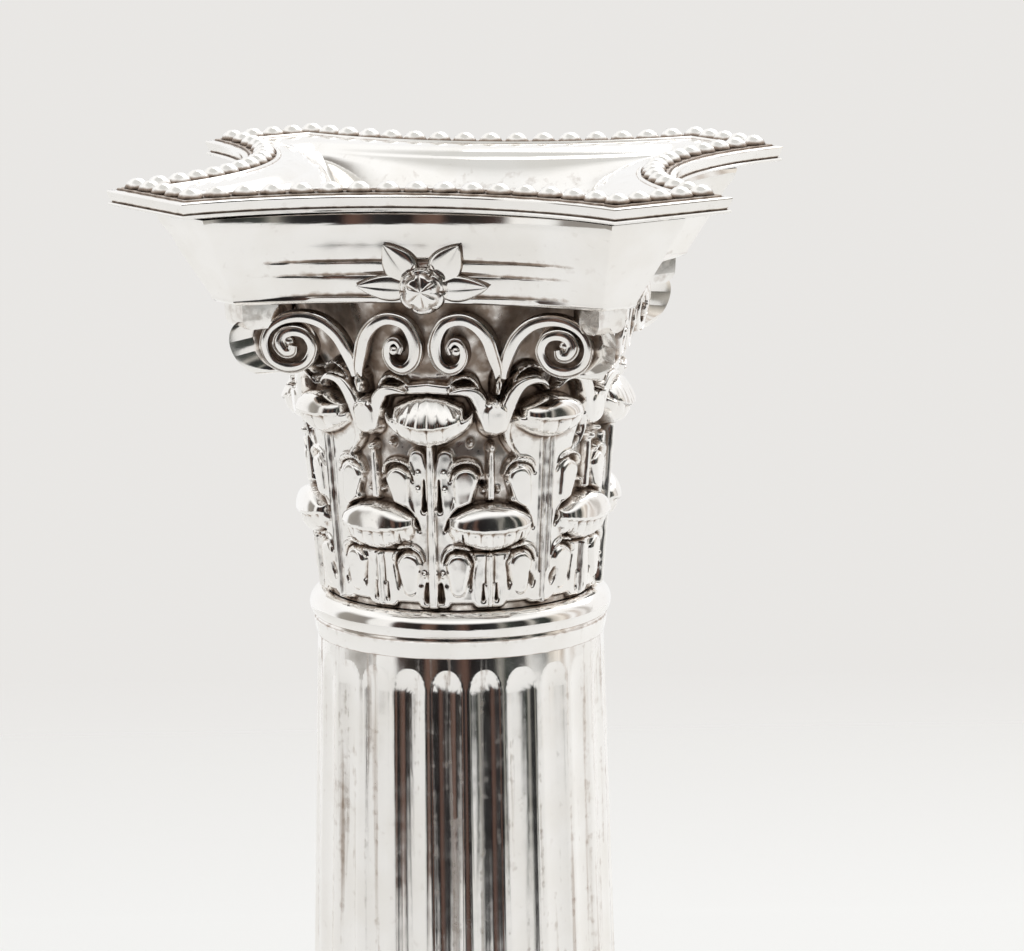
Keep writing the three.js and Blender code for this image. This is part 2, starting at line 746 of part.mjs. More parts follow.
add("baize_pad", baizePad(), baize);
add("base_board", baseBoard(), timber);
add("foot_shell", footShell(), silver);
add("foot_bead_wire", beadWire(coveOuter + FILLET + BEAD_LEDGE / 2, bandTop, FOOT_BEAD), silver);
add("step_bead_wire", beadWire(stepInner + BEAD_LEDGE / 2, stepLedge, STEP_BEAD), silver);
add("plinth_shell", plinthShell(), silver);
add("foot_loading", footLoading(), pitch);
add("column_base", columnBase(), silver);
add("column_shaft", columnShaft(), silver);
add("shaft_loading", shaftLoading(), pitch);
add("neck_ring", neckRing(), silver);

const washerBottom = boardBottom + nutRecess - WASHER_THICKNESS;
add("tie_rod", tieRod(), steel);
add("rod_washer", threaded(WASHER_RADIUS, washerBottom, WASHER_THICKNESS, LATHE_STEPS), steel);
add("rod_foot_nut", threaded(NUT_RADIUS, washerBottom - NUT_THICKNESS, NUT_THICKNESS, 6), steel);
add("rod_head_nut", threaded(NUT_RADIUS, below(RING_TOP) + SHEET, NUT_THICKNESS, 6), steel);

add("candle_cup", candleCup(), dullSilver);
add("abacus", abacus(), silver);
onFourSides(sides, (name, side) => {
  add(`bell_panel_${name}`, bellPanel(), silver, side);
  add(`helix_pair_${name}`, helixPair(), silver, side);
  add(`abacus_flower_${name}`, abacusFlower(), silver, side);
});
onFourSides(corners, (name, corner) => {
  add(`corner_volute_${name}`, cornerVolute(), silver, corner);
});

add("nozzle_pan", nozzlePan(), silver, nozzle);
add("nozzle_bead_wire", nozzleBeadWire(), silver, nozzle);
add("nozzle_socket", nozzleSocket(), dullSilver, nozzle);

export default candlestick;
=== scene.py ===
"""Finished surfaces of a loaded silver candlestick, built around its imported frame.

The candlestick is a Corinthian column: a stepped square foot with two bead borders, a plinth, a
fluted shaft, a leaf capital with volutes under a flared abacus, and a lift-out nozzle with a
concave-sided drip pan. Shapes are worked out in millimetres and scaled to metres when made.
"""

import logging
import math
from collections.abc import Callable, Sequence
from dataclasses import dataclass, field
from enum import Enum

import bmesh
import bpy
import numpy as np
from mathutils import Matrix, Vector


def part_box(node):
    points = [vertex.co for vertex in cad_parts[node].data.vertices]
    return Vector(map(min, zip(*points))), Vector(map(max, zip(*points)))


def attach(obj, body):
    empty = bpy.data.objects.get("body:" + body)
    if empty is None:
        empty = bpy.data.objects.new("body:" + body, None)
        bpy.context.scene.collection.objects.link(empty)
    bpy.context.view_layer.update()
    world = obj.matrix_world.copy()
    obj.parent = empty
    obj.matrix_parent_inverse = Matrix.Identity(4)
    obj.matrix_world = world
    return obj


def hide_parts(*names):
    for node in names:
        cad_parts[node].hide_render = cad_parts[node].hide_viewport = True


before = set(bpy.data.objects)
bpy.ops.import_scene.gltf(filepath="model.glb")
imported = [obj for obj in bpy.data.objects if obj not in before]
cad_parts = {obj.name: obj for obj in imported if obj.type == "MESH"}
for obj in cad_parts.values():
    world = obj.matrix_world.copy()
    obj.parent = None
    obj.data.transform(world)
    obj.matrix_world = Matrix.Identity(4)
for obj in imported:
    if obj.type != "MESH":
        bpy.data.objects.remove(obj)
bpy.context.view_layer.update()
MM = 0.001
LOG = logging.getLogger("candlestick")


class Body(Enum):
    """The two bodies that the pieces ride on."""

    STICK = "stick"
    NOZZLE = "nozzle"


class Side(Enum):
    """The four faces of the capital, each with its quarter turns from the front."""

    FRONT = 0
    RIGHT = 1
    BACK = 2
    LEFT = 3

    @property
    def word(self) -> str:
        """The face's name as it stands in a node's name."""
        return self.name.lower()

    @property
    def corner(self) -> str:
        """The name of the corner on the right-hand end of this face."""
        return ("front_right", "back_right", "back_left", "front_left")[self.value]


def reach(node: str) -> tuple[np.ndarray, np.ndarray]:
    """Finds where a node of the frame lies.

    Args:
        node: The node's name.

    Returns:
        Its lowest and highest corners in millimetres.
    """
    low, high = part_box(node)
    return np.array(low) / MM, np.array(high) / MM


def turned_about(points: np.ndarray, quarters: float) -> np.ndarray:
    """Turns points about the upright axis.

    Args:
        points: Points with their three coordinates last.
        quarters: The turn in quarters, anticlockwise seen from above.

    Returns:
        The turned points.
    """
    angle = quarters * math.pi / 2
    c, s = math.cos(angle), math.sin(angle)
    x, y, z = points[..., 0], points[..., 1], points[..., 2]
    return np.stack([c * x - s * y, s * x + c * y, z], axis=-1)


def eased(share: np.ndarray | float) -> np.ndarray | float:
    """Turns an even share from 0 to 1 into one that starts and ends gently."""
    share = np.clip(share, 0.0, 1.0)
    return share * share * (3 - 2 * share)


def flowing(points: Sequence[Sequence[float]], steps: int) -> np.ndarray:
    """Draws one smooth curve through a few points.

    Args:
        points: The points the curve passes, with any number of coordinates.
        steps: How many steps the curve takes between two of them.

    Returns:
        The points along the curve.
    """
    knots = np.array(points, float)
    before = np.vstack([2 * knots[0] - knots[1], knots, 2 * knots[-1] - knots[-2]])
    t = np.linspace(0, 1, steps, endpoint=False)[:, None]
    parts = []
    for a, b, c, d in zip(before, before[1:], before[2:], before[3:]):
        parts.append(
            0.5 * (2 * b + (c - a) * t + (2 * a - 5 * b + 4 * c - d) * t**2 + (3 * b - a - 3 * c + d) * t**3)
        )
    return np.vstack([*parts, knots[-1:]])


# ---- Blanks: points and faces gathered into one piece ----


@dataclass
class Blank:
    """The points, faces and dark depths gathered for one piece before it is made a mesh: oxidation, with
    painted shade in some places.
    """

    points: list[np.ndarray] = field(default_factory=list)
    depths: list[np.ndarray] = field(default_factory=list)
    faces: list[list[int]] = field(default_factory=list)
    count: int = 0

    def hold(self, points: np.ndarray, depth: np.ndarray | float = 0.0) -> int:
        """Adds points without faces.

        Args:
            points: The points, with their three coordinates last.
            depth: How dark each is, from 0 to 1: oxidised, with painted shade in some places.

        Returns:
            The index of the first of them.
        """
        flat = points.reshape(-1, 3)
        start = self.count
        self.points.append(flat)
        self.depths.append(np.broadcast_to(np.asarray(depth, float).reshape(-1), (len(flat),)))
        self.count += len(flat)
        return start

    def lay(
        self, grid: np.ndarray, around: bool = False, closed: bool = False, depth: np.ndarray | float = 0.0
    ) -> int:
        """Lays a skin of four-sided faces over a grid of points.

        Args:
            grid: Points in rows and columns.
            around: Whether the last column joins the first.
            closed: Whether the last row joins the first.
            depth: How dark the points are: oxidised, with painted shade in some places.

        Returns:
            The index of the grid's first point.
        """
        rows, columns = grid.shape[:2]
        start = self.hold(grid, depth)
        i = np.arange(rows if closed else rows - 1)[:, None]
        j = np.arange(columns if around else columns - 1)[None, :]
        above, beside = (i + 1) % rows, (j + 1) % columns
        corners = (i * columns + j, i * columns + beside, above * columns + beside, above * columns + j)
        self.faces += (np.stack(np.broadcast_arrays(*corners), axis=-1).reshape(-1, 4) + start).tolist()
        return start

    def cap(self, first: int, count: int, stride: int = 1) -> None:
        """Closes a ring of points with one flat face."""
        self.faces.append([first + k * stride for k in range(count)])

    def fan(self, first: int, count: int, centre: Sequence[float], depth: float = 0.0) -> None:
        """Closes a ring of points with triangles that meet at a centre."""
        middle = self.hold(np.array([centre], float), depth)
        self.faces += [[first + k, first + (k + 1) % count, middle] for k in range(count)]

    def turn(self, quarters: int) -> None:
        """Turns every point about the upright axis."""
        self.points = [turned_about(part, quarters) for part in self.points]

    def make(self, name: str, crease: float = 38.0) -> bpy.types.Object:
        """Makes the mesh and its object.

        Args:
            name: The piece's name.
            crease: The angle in degrees past which an edge stays sharp.

        Returns:
            The object, at the origin, in metres.
        """
        mesh = bpy.data.meshes.new(name)
        mesh.from_pydata((np.vstack(self.points) * MM).tolist(), [], self.faces)
        shade = mesh.attributes.new("oxide_and_shade", "FLOAT", "POINT")
        shade.data.foreach_set("value", np.concatenate(self.depths).astype(np.float32))
        return placed(mesh, name, crease)


def linked(name: str, data: bpy.types.ID) -> bpy.types.Object:
    """Makes an object of some data and puts it in the scene."""
    made = bpy.data.objects.new(name, data)
    bpy.context.scene.collection.objects.link(made)
    return made


def placed(mesh: bpy.types.Mesh, name: str, crease: float) -> bpy.types.Object:
    """Finishes a mesh with outward faces and smooth shading, and puts it in the scene.

    Args:
        mesh: The mesh, in metres.
        name: The object's name.
        crease: The angle in degrees past which an edge stays sharp.

    Returns:
        The new object.
    """
    work = bmesh.new()
    work.from_mesh(mesh)
    bmesh.ops.remove_doubles(work, verts=work.verts, dist=1e-7)
    bmesh.ops.dissolve_degenerate(work, edges=work.edges, dist=1e-8)
    bmesh.ops.recalc_face_normals(work, faces=work.faces)
    work.to_mesh(mesh)
    work.free()
    mesh.polygons.foreach_set("use_smooth", [True] * len(mesh.polygons))
    mesh.set_sharp_from_angle(angle=math.radians(crease))
    return linked(name, mesh)


def lathe(
    profile: Sequence[Sequence[float]], segments: int = 144, depths: Sequence[float] | None = None
) -> Blank:
    """Turns a profile about the upright axis.

    Args:
        profile: Pairs of radius and height round the whole section, which closes on itself.
        segments: How many steps there are round the axis.
        depths: How oxidised each point of the profile is.

    Returns:
        The turned blank.
    """
    radius, height = np.array(profile, float).T
    angle = np.linspace(0, 2 * math.pi, segments, endpoint=False)
    grid = np.stack(
        [
            radius[:, None] * np.sin(angle),
            -radius[:, None] * np.cos(angle),
            np.broadcast_to(height[:, None], (len(radius), segments)),
        ],
        axis=-1,
    )
    blank = Blank()
    shade = 0.0 if depths is None else np.repeat(np.array(depths, float), segments)
    blank.lay(grid, around=True, closed=True, depth=shade)
    return blank


def bulge(
    centre: float, level: float, radius: float, start: float, end: float, steps: int = 10
) -> list[tuple[float, float]]:
    """Points along a round moulding.

    Args:
        centre: Distance of its middle from the axis.
        level: Height of its middle.
        radius: Its radius.
        start: First angle in degrees, from outwards towards up.
        end: Last angle in degrees.
        steps: How many steps it takes.

    Returns:
        Pairs of distance and height.
    """
    angles = np.radians(np.linspace(start, end, steps + 1))
    return [(centre + radius * math.cos(a), level + radius * math.sin(a)) for a in angles]


# ---- Plans: the outlines that mouldings are carried round ----


@dataclass(frozen=True)
class HornedPlan:
    """A square plan with four hollow sides and cut corners.

    half is from the axis to a horn's edge, corner is cut off each way, sag is how far a side curves in.
    """

    half: float
    corner: float
    sag: float

    def sides(self, inset: float = 0.0, along: int = 41, across: int = 6) -> np.ndarray:
        """Works out the outline.

        Args:
            inset: How far the outline is drawn in.
            along: Points on one hollow side.
            across: Steps over one cut corner.

        Returns:
            The outline's points in order, anticlockwise.
        """
        chord = self.half - self.corner
        arc = (chord**2 + self.sag**2) / (2 * self.sag)
        centre = self.half - self.sag + arc
        corner = centre - (self.half + chord - inset * math.sqrt(2))
        span = (math.sqrt(2 * (arc + inset) ** 2 - corner**2) - corner) / 2
        sweep = math.asin(span / (arc + inset))
        angle = sweep * np.linspace(-1, 1, along)
        side = np.stack([(arc + inset) * np.sin(angle), (arc + inset) * np.cos(angle) - centre], axis=-1)
        turned = [np.stack([side[:, 0], side[:, 1], side[:, 0] * 0], -1)]
        turned = [turned_about(turned[0], quarter)[:, :2] for quarter in range(4)]
        parts = []
        for here, after in zip(turned, turned[1:] + turned[:1]):
            share = np.linspace(0, 1, across + 1)[1:-1, None]
            parts += [here, here[-1] * (1 - share) + after[0] * share]
        return np.vstack(parts)

    def toward(self, other: "HornedPlan", share: float) -> "HornedPlan":
        """A plan part of the way to another."""
        mix = [a + (b - a) * share for a, b in zip(self.sizes, other.sizes)]
        return HornedPlan(*mix)

    def shrunk(self, inset: float) -> "HornedPlan":
        """A smaller plan with the same cut corners and the same sag."""
        return HornedPlan(self.half - inset, self.corner, self.sag)

    @property
    def sizes(self) -> tuple[float, float, float]:
        """The plan's three sizes."""
        return self.half, self.corner, self.sag

    @property
    def middle(self) -> float:
        """Distance from the axis to the middle of a side."""
        return self.half - self.sag


@dataclass(frozen=True)
class SquarePlan:
    """A square plan with softly mitred corners."""

    ease: float = 0.35

    def sides(self, half: float, along: int = 9) -> np.ndarray:
        """Works out the outline.

        Args:
            half: Half the square's width.
            along: Points on one side.

        Returns:
            The outline's points in order, anticlockwise.
        """
        run = np.linspace(-1, 1, along) * (half - self.ease)
        side = np.stack([run, np.full(along, -half), run * 0], axis=-1)
        return np.vstack([turned_about(side, quarter)[:, :2] for quarter in range(4)])


def raised(outline: np.ndarray, height: float) -> np.ndarray:
    """An outline lifted to a height."""
    return np.column_stack([outline, np.full(len(outline), height)])


def swept(rings: Sequence[np.ndarray], depths: Sequence[float | np.ndarray] | None = None) -> Blank:
    """Lays a skin through rings of equal count that closes on itself.

    Args:
        rings: The rings, each with points in the same order.
        depths: How dark each ring is: oxidised, with painted shade on the pan's bead ledge.

    Returns:
        The blank.
    """
    grid = np.stack(rings)
    blank = Blank()
    shade = np.zeros(grid.shape[:2]) if depths is None else np.array(depths, float)
    shade = np.broadcast_to(shade.reshape(len(grid), -1), grid.shape[:2]).reshape(-1)
    blank.lay(grid, around=True, closed=True, depth=shade)
    return blank


# ---- Node trees ----


class Wiring:
    """A node tree and the short hand for laying it out."""

    held: tuple[str, ...] = ()

    def __init__(self, tree: bpy.types.NodeTree) -> None:
        """Takes the tree to lay out."""
        self.tree = tree

    def add(self, kind: str, **values: object) -> bpy.types.Node:
        """Adds a node and sets its own values."""
        node = self.tree.nodes.new(kind)
        for key, value in values.items():
            setattr(node, key, value)
        return node

    def join(self, source: bpy.types.NodeSocket, target: bpy.types.NodeSocket) -> None:
        """Links two sockets."""
        self.tree.links.new(source, target)

    def maths(
        self,
        operation: str,
        first: bpy.types.NodeSocket | float,
        second: bpy.types.NodeSocket | float = 0.0,
    ) -> bpy.types.NodeSocket:
        """Adds one step of arithmetic on sockets or numbers.

        Args:
            operation: The step's name; the result of one in held stays between 0 and 1.
            first: The first value.
            second: The second value, where the step has one.

        Returns:
            The result's socket.
        """
        node = self.add("ShaderNodeMath", operation=operation, use_clamp=operation in self.held)
        for socket, value in zip(node.inputs, (first, second)):
            if isinstance(value, (int, float)):
                socket.default_value = value
            else:
                self.join(value, socket)
        return node.outputs[0]

    def spread(
        self,
        source: bpy.types.NodeSocket,
        low: float,
        high: float,
        new_low: float,
        new_high: float,
        **values: object,
    ) -> bpy.types.NodeSocket:
        """Maps one range of values onto another, held at both ends."""
        node = self.add("ShaderNodeMapRange", clamp=True, **values)
        for socket, value in zip(node.inputs[1:5], (low, high, new_low, new_high)):
            socket.default_value = value
        self.join(source, node.inputs[0])
        return node.outputs[0]

    def blend(
        self,
        share: bpy.types.NodeSocket,
        first: Sequence[float] | bpy.types.NodeSocket,
        second: Sequence[float] | bpy.types.NodeSocket,
    ) -> bpy.types.NodeSocket:
        """Mixes two colours, given as values or as sockets, by a share."""
        node = self.add("ShaderNodeMix", data_type="RGBA")
        for key, colour in (("A", first), ("B", second)):
            if isinstance(colour, bpy.types.NodeSocket):
                self.join(colour, node.inputs[key])
            else:
                node.inputs[key].default_value = (*colour, 1)
        self.join(share, node.inputs["Factor"])
        return node.outputs["Result"]


# ---- Finishes ----


class Nodes(Wiring):
    """A material's nodes, ending in its shader."""

    held = ("ADD",)

    def __init__(self, name: str) -> None:
        """Starts an empty material with a shader and an output."""
        self.material = bpy.data.materials.new(name)
        self.material.use_nodes = True
        super().__init__(self.material.node_tree)
        self.shader = self.tree.nodes["Principled BSDF"]
        self.place = self.tree.nodes.new("ShaderNodeTexCoord").outputs["Object"]

    def noise(
        self, scale: float, detail: float = 3.0, stretch: Sequence[float] | None = None
    ) -> bpy.types.NodeSocket:
        """Adds a noise pattern on the object's own coordinates.

        Args:
            scale: How many patches there are in a metre.
            detail: How rough the pattern is.
            stretch: How the pattern is drawn out along each axis.

        Returns:
            The pattern's value.
        """
        texture = self.add("ShaderNodeTexNoise")
        texture.inputs["Scale"].default_value = scale
        texture.inputs["Detail"].default_value = detail
        place = self.place
        if stretch is not None:
            mapping = self.add("ShaderNodeMapping")
            mapping.inputs["Scale"].default_value = stretch
            self.join(place, mapping.inputs["Vector"])
            place = mapping.outputs["Vector"]
        self.join(place, texture.inputs["Vector"])
        return texture.outputs["Fac"]

    def bump(
        self,
        height: bpy.types.NodeSocket,
        distance: float,
        strength: float,
        under: bpy.types.NodeSocket | None = None,
    ) -> bpy.types.NodeSocket:
        """Roughens the surface by a pattern, over any earlier one."""
        node = self.add("ShaderNodeBump")
        node.inputs["Distance"].default_value = distance
        node.inputs["Strength"].default_value = strength
        self.join(height, node.inputs["Height"])
        if under is not None:
            self.join(under, node.inputs["Normal"])
        return node.outputs["Normal"]


@dataclass(frozen=True)
class Silver:
    """Polished silver, oxidised in its recesses and finely scratched; the same dark map also paints shade on
    and between the beads.
    """

    name: str
    bright: tuple[float, float, float] = (0.99, 0.972, 0.95)
    worn: tuple[float, float, float] = (0.945, 0.92, 0.885)
    tarnish_and_shade: tuple[float, float, float] = (0.42, 0.335, 0.275)
    oxide_and_shade: tuple[float, float, float] = (0.035, 0.021, 0.014)
    polish: float = 0.07
    tarnish_and_shade_start: float = 0.10
    tarnish_and_shade_full: float = 0.50
    oxide_and_shade_start: float = 0.55
    oxide_and_shade_full: float = 0.95
    ripple: float = 0.35
    scratch: float = 0.12
    grain: tuple[float, float, float] = (1.0, 1.0, 0.12)
    streak: float = 0.0

    def material(self) -> bpy.types.Material:
        """Builds the finish.

        Returns:
            The material.
        """
        nodes = Nodes(self.name)
        # The dark map turns the silver brown and then near-black: oxidation in the chased hollows, and
        # painted shade on the beads' lower sides and on the pan's ledge between them.
        attribute = nodes.add("ShaderNodeAttribute", attribute_name="oxide_and_shade")
        blotch = nodes.spread(nodes.noise(900, 4), 0.3, 0.7, -0.14, 0.14)
        deep = nodes.maths("ADD", attribute.outputs["Fac"], blotch)
        if self.streak:
            drawn = nodes.spread(nodes.noise(900, 4, (1.0, 1.0, 0.012)), 0.5, 0.72, 0.0, self.streak)
            deep = nodes.maths("ADD", deep, drawn)
        share = nodes.spread(deep, self.tarnish_and_shade_start, self.tarnish_and_shade_full, 0.0, 1.0)
        black = nodes.spread(deep, self.oxide_and_shade_start, self.oxide_and_shade_full, 0.0, 1.0)
        wear = nodes.spread(nodes.noise(160, 5), 0.42, 0.66, 0.0, 1.0)
        face = nodes.blend(wear, self.bright, self.worn)
        coat = nodes.blend(share, face, nodes.blend(black, self.tarnish_and_shade, self.oxide_and_shade))
        nodes.join(coat, nodes.shader.inputs["Base Color"])
        nodes.shader.inputs["Metallic"].default_value = 1.0
        gloss = nodes.spread(nodes.noise(420, 6), 0.35, 0.7, self.polish, self.polish * 1.9)
        dull = nodes.maths("MULTIPLY", share, 0.38)
        nodes.join(nodes.maths("ADD", gloss, dull), nodes.shader.inputs["Roughness"])
        lines = nodes.noise(5200, 2, self.grain)
        soft = nodes.noise(150, 2)
        lower = nodes.bump(soft, 0.00012, self.ripple)
        nodes.join(nodes.bump(lines, 0.000012, self.scratch, lower), nodes.shader.inputs["Normal"])
        return nodes.material


@dataclass(frozen=True)
class Dressing:
    """A plain finish of two mottled colours with a fine surface, for what is not polished silver."""

    name: str
    first: tuple[float, float, float]
    second: tuple[float, float, float]
    patches: float
    roughness: float
    metallic: float = 0.0
    pile: float = 2500.0
    relief: float = 0.0002
    grain: tuple[float, float, float] = (1.0, 1.0, 1.0)

    def material(self) -> bpy.types.Material:
        """Builds the finish.

        Returns:
            The material.
        """
        nodes = Nodes(self.name)
        share = nodes.spread(nodes.noise(self.patches, 5, self.grain), 0.3, 0.7, 0.0, 1.0)
        nodes.join(nodes.blend(share, self.first, self.second), nodes.shader.inputs["Base Color"])
        nodes.shader.inputs["Metallic"].default_value = self.metallic
        fine = nodes.noise(self.pile, 4, self.grain)
        gloss = nodes.spread(fine, 0.3, 0.7, self.roughness * 0.8, min(1.0, self.roughness * 1.15))
        nodes.join(gloss, nodes.shader.inputs["Roughness"])
        nodes.join(nodes.bump(fine, self.relief, 0.5), nodes.shader.inputs["Normal"])
        return nodes.material


class Finish(Enum):
    """Every finish on the candlestick."""

    CHASED = Silver("chased_silver", polish=0.09, ripple=0.5)
    TURNED = Silver("turned_silver", polish=0.06, ripple=0.25, grain=(1.0, 1.0, 0.05), streak=0.38)
    SPUN = Silver("spun_silver", polish=0.07, ripple=0.3, grain=(0.4, 0.4, 1.0))
    INSIDE = Silver("socket_silver", (0.80, 0.78, 0.74), (0.66, 0.63, 0.58), polish=0.2, scratch=0.3)
    STEEL = Dressing("rod_steel", (0.34, 0.35, 0.36), (0.20, 0.19, 0.18), 300, 0.42, 1.0)
    PITCH = Dressing("pitch_fill", (0.028, 0.022, 0.018), (0.055, 0.043, 0.034), 90, 0.75)
    BOARD = Dressing(
        "base_board_wood", (0.27, 0.15, 0.07), (0.17, 0.09, 0.04), 60, 0.7, grain=(0.15, 1.0, 1.0)
    )
    BAIZE = Dressing("green_baize", (0.016, 0.058, 0.028), (0.026, 0.085, 0.042), 500, 0.95, pile=6000)

    def on(self, piece: bpy.types.Object) -> bpy.types.Object:
        """Puts the finish on a piece, made once and then shared."""
        material = bpy.data.materials.get(self.value.name) or self.value.material()
        piece.data.materials.clear()
        piece.data.materials.append(material)
        return piece


def settle(
    piece: bpy.types.Object, finish: Finish, body: Body, stands_for: Sequence[str]
) -> bpy.types.Object:
    """Dresses a finished piece and ties it to the frame.

    Args:
        piece: The piece, in place.
        finish: Its finish.
        body: The body it rides on.
        stands_for: The nodes of the frame it stands for.

    Returns:
        The same piece.
    """
    finish.on(piece)
    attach(piece, body.value)
    if stands_for:
        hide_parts(*stands_for)
    LOG.info("%s: %d faces, on the %s", piece.name, len(piece.data.polygons), body.value)
    return piece


# ---- Geometry node trees ----


class Graph(Wiring):
    """A geometry node tree with named inputs."""

    def __init__(self, name: str, **sizes: float) -> None:
        """Starts a tree with a geometry input and one input for each size."""
        super().__init__(bpy.data.node_groups.new(name, "GeometryNodeTree"))
        face = self.tree.interface
        face.new_socket("Geometry", in_out="INPUT", socket_type="NodeSocketGeometry")
        face.new_socket("Geometry", in_out="OUTPUT", socket_type="NodeSocketGeometry")
        self.keys = {}
        for key, value in sizes.items():
            socket = face.new_socket(key, in_out="INPUT", socket_type="NodeSocketFloat")
            socket.default_value = value
            self.keys[key] = (socket.identifier, value)
        finish = face.new_socket("finish", in_out="INPUT", socket_type="NodeSocketMaterial")
        self.finish_key = finish.identifier
        self.inputs = self.add("NodeGroupInput").outputs
        self.output = self.add("NodeGroupOutput").inputs[0]

    def close(self, geometry: bpy.types.NodeSocket) -> None:
        """Ends the tree in plain geometry with its finish on it."""
        realize = self.add("GeometryNodeRealizeInstances")
        dress = self.add("GeometryNodeSetMaterial")
        self.join(geometry, realize.inputs[0])
        self.join(realize.outputs[0], dress.inputs["Geometry"])
        self.join(self.inputs["finish"], dress.inputs["Material"])
        self.join(dress.outputs[0], self.output)

    def run(self, start: bpy.types.Object, name: str, finish: Finish, crease: float) -> bpy.types.Object:
        """Grows the tree from a starting object and keeps the result as a plain mesh.

        Args:
            start: The object whose mesh the tree reads, which is used up.
            name: The finished piece's name.
            finish: The finish that the tree puts on.
            crease: The angle in degrees past which an edge stays sharp.

        Returns:
            The finished piece.
        """
        finish.on(start)
        modifier = start.modifiers.new(name, "NODES")
        modifier.node_group = self.tree
        for identifier, value in self.keys.values():
            modifier[identifier] = value
        modifier[self.finish_key] = start.data.materials[0]
        graph = bpy.context.evaluated_depsgraph_get()
        mesh = bpy.data.meshes.new_from_object(start.evaluated_get(graph), depsgraph=graph)
        start.modifiers.remove(modifier)
        bpy.data.objects.remove(start)
        return placed(mesh, name, crease)


def bead_tree(width: float, height: float, pitch: float) -> Graph:
    """Builds the tree that sets domed beads along every line of a border.

    Args:
        width: A bead's width in metres.
        height: How high a bead stands.
        pitch: The spacing to come near to from bead to bead.

    Returns:
        The tree.
    """
    graph = Graph(f"bead_border_{round(width / MM * 100)}", width=width, height=height, pitch=pitch)
    curve = graph.add("GeometryNodeMeshToCurve")
    length = graph.add("GeometryNodeSplineLength")
    gaps = graph.maths("ROUND", graph.maths("DIVIDE", length.outputs["Length"], graph.inputs["pitch"]))
    resample = graph.add("GeometryNodeResampleCurve")
    graph.join(graph.inputs["Geometry"], curve.inputs["Mesh"])
    graph.join(curve.outputs[0], resample.inputs["Curve"])
    graph.join(graph.maths("ADD", gaps, 1.0), resample.inputs["Count"])
    points = graph.add("GeometryNodeCurveToPoints", mode="EVALUATED")
    graph.join(resample.outputs[0], points.inputs["Curve"])
    merge = graph.add("GeometryNodeMergeByDistance")
    graph.join(points.outputs["Points"], merge.inputs["Geometry"])
    graph.join(graph.maths("MULTIPLY", graph.inputs["width"], 0.4), merge.inputs["Distance"])
    ball = graph.add("GeometryNodeMeshUVSphere")
    ball.inputs["Segments"].default_value = 12
    ball.inputs["Rings"].default_value = 7
    ball.inputs["Radius"].default_value = 1.0
    place = graph.add("ShaderNodeSeparateXYZ")
    graph.join(graph.add("GeometryNodeInputPosition").outputs[0], place.inputs[0])
    shade = graph.add("GeometryNodeStoreNamedAttribute", data_type="FLOAT", domain="POINT")
    shade.inputs["Name"].default_value = "oxide_and_shade"
    # Painted shade: each bead is darkened from high on its side down to its foot, for the shade under it and
    # in the gaps between beads.
    low = graph.maths("MULTIPLY", graph.maths("SUBTRACT", 0.62, place.outputs["Z"]), 2.4)
    graph.join(graph.maths("MINIMUM", graph.maths("MAXIMUM", low, 0.0), 1.0), shade.inputs["Value"])
    graph.join(ball.outputs["Mesh"], shade.inputs["Geometry"])
    scale = graph.add("ShaderNodeCombineXYZ")
    across = graph.maths("MULTIPLY", graph.inputs["width"], 0.5)
    for axis in "XY":
        graph.join(across, scale.inputs[axis])
    graph.join(graph.inputs["height"], scale.inputs["Z"])
    spots = graph.add("GeometryNodeInstanceOnPoints")
    graph.join(merge.outputs[0], spots.inputs["Points"])
    graph.join(shade.outputs["Geometry"], spots.inputs["Instance"])
    graph.join(scale.outputs[0], spots.inputs["Scale"])
    graph.close(spots.outputs[0])
    return graph


def bead_border(
    outline: np.ndarray,
    breaks: Sequence[int],
    level: float,
    width: float,
    height: float,
    pitch: float,
    name: str,
) -> bpy.types.Object:
    """Sets a border of beads along an outline, with a bead on every corner.

    Args:
        outline: The outline's points.
        breaks: The index of each corner in it.
        level: Height of the flat that the beads stand on.
        width: A bead's width.
        height: How high a bead stands.
        pitch: The spacing to come near to.
        name: The border's name.

    Returns:
        The border, as one piece.
    """
    corners = [*breaks, breaks[0] + len(outline)]
    points, edges = [], []
    for start, end in zip(corners, corners[1:]):
        base = len(points)
        points += [(*outline[k % len(outline)] * MM, level * MM) for k in range(start, end + 1)]
        edges += [(base + k, base + k + 1) for k in range(end - start)]
    mesh = bpy.data.meshes.new(name)
    mesh.from_pydata(points, edges, [])
    graph = bead_tree(width * MM, height * MM, pitch * MM)
    return graph.run(linked(f"{name}_line", mesh), name, Finish.CHASED, 60)


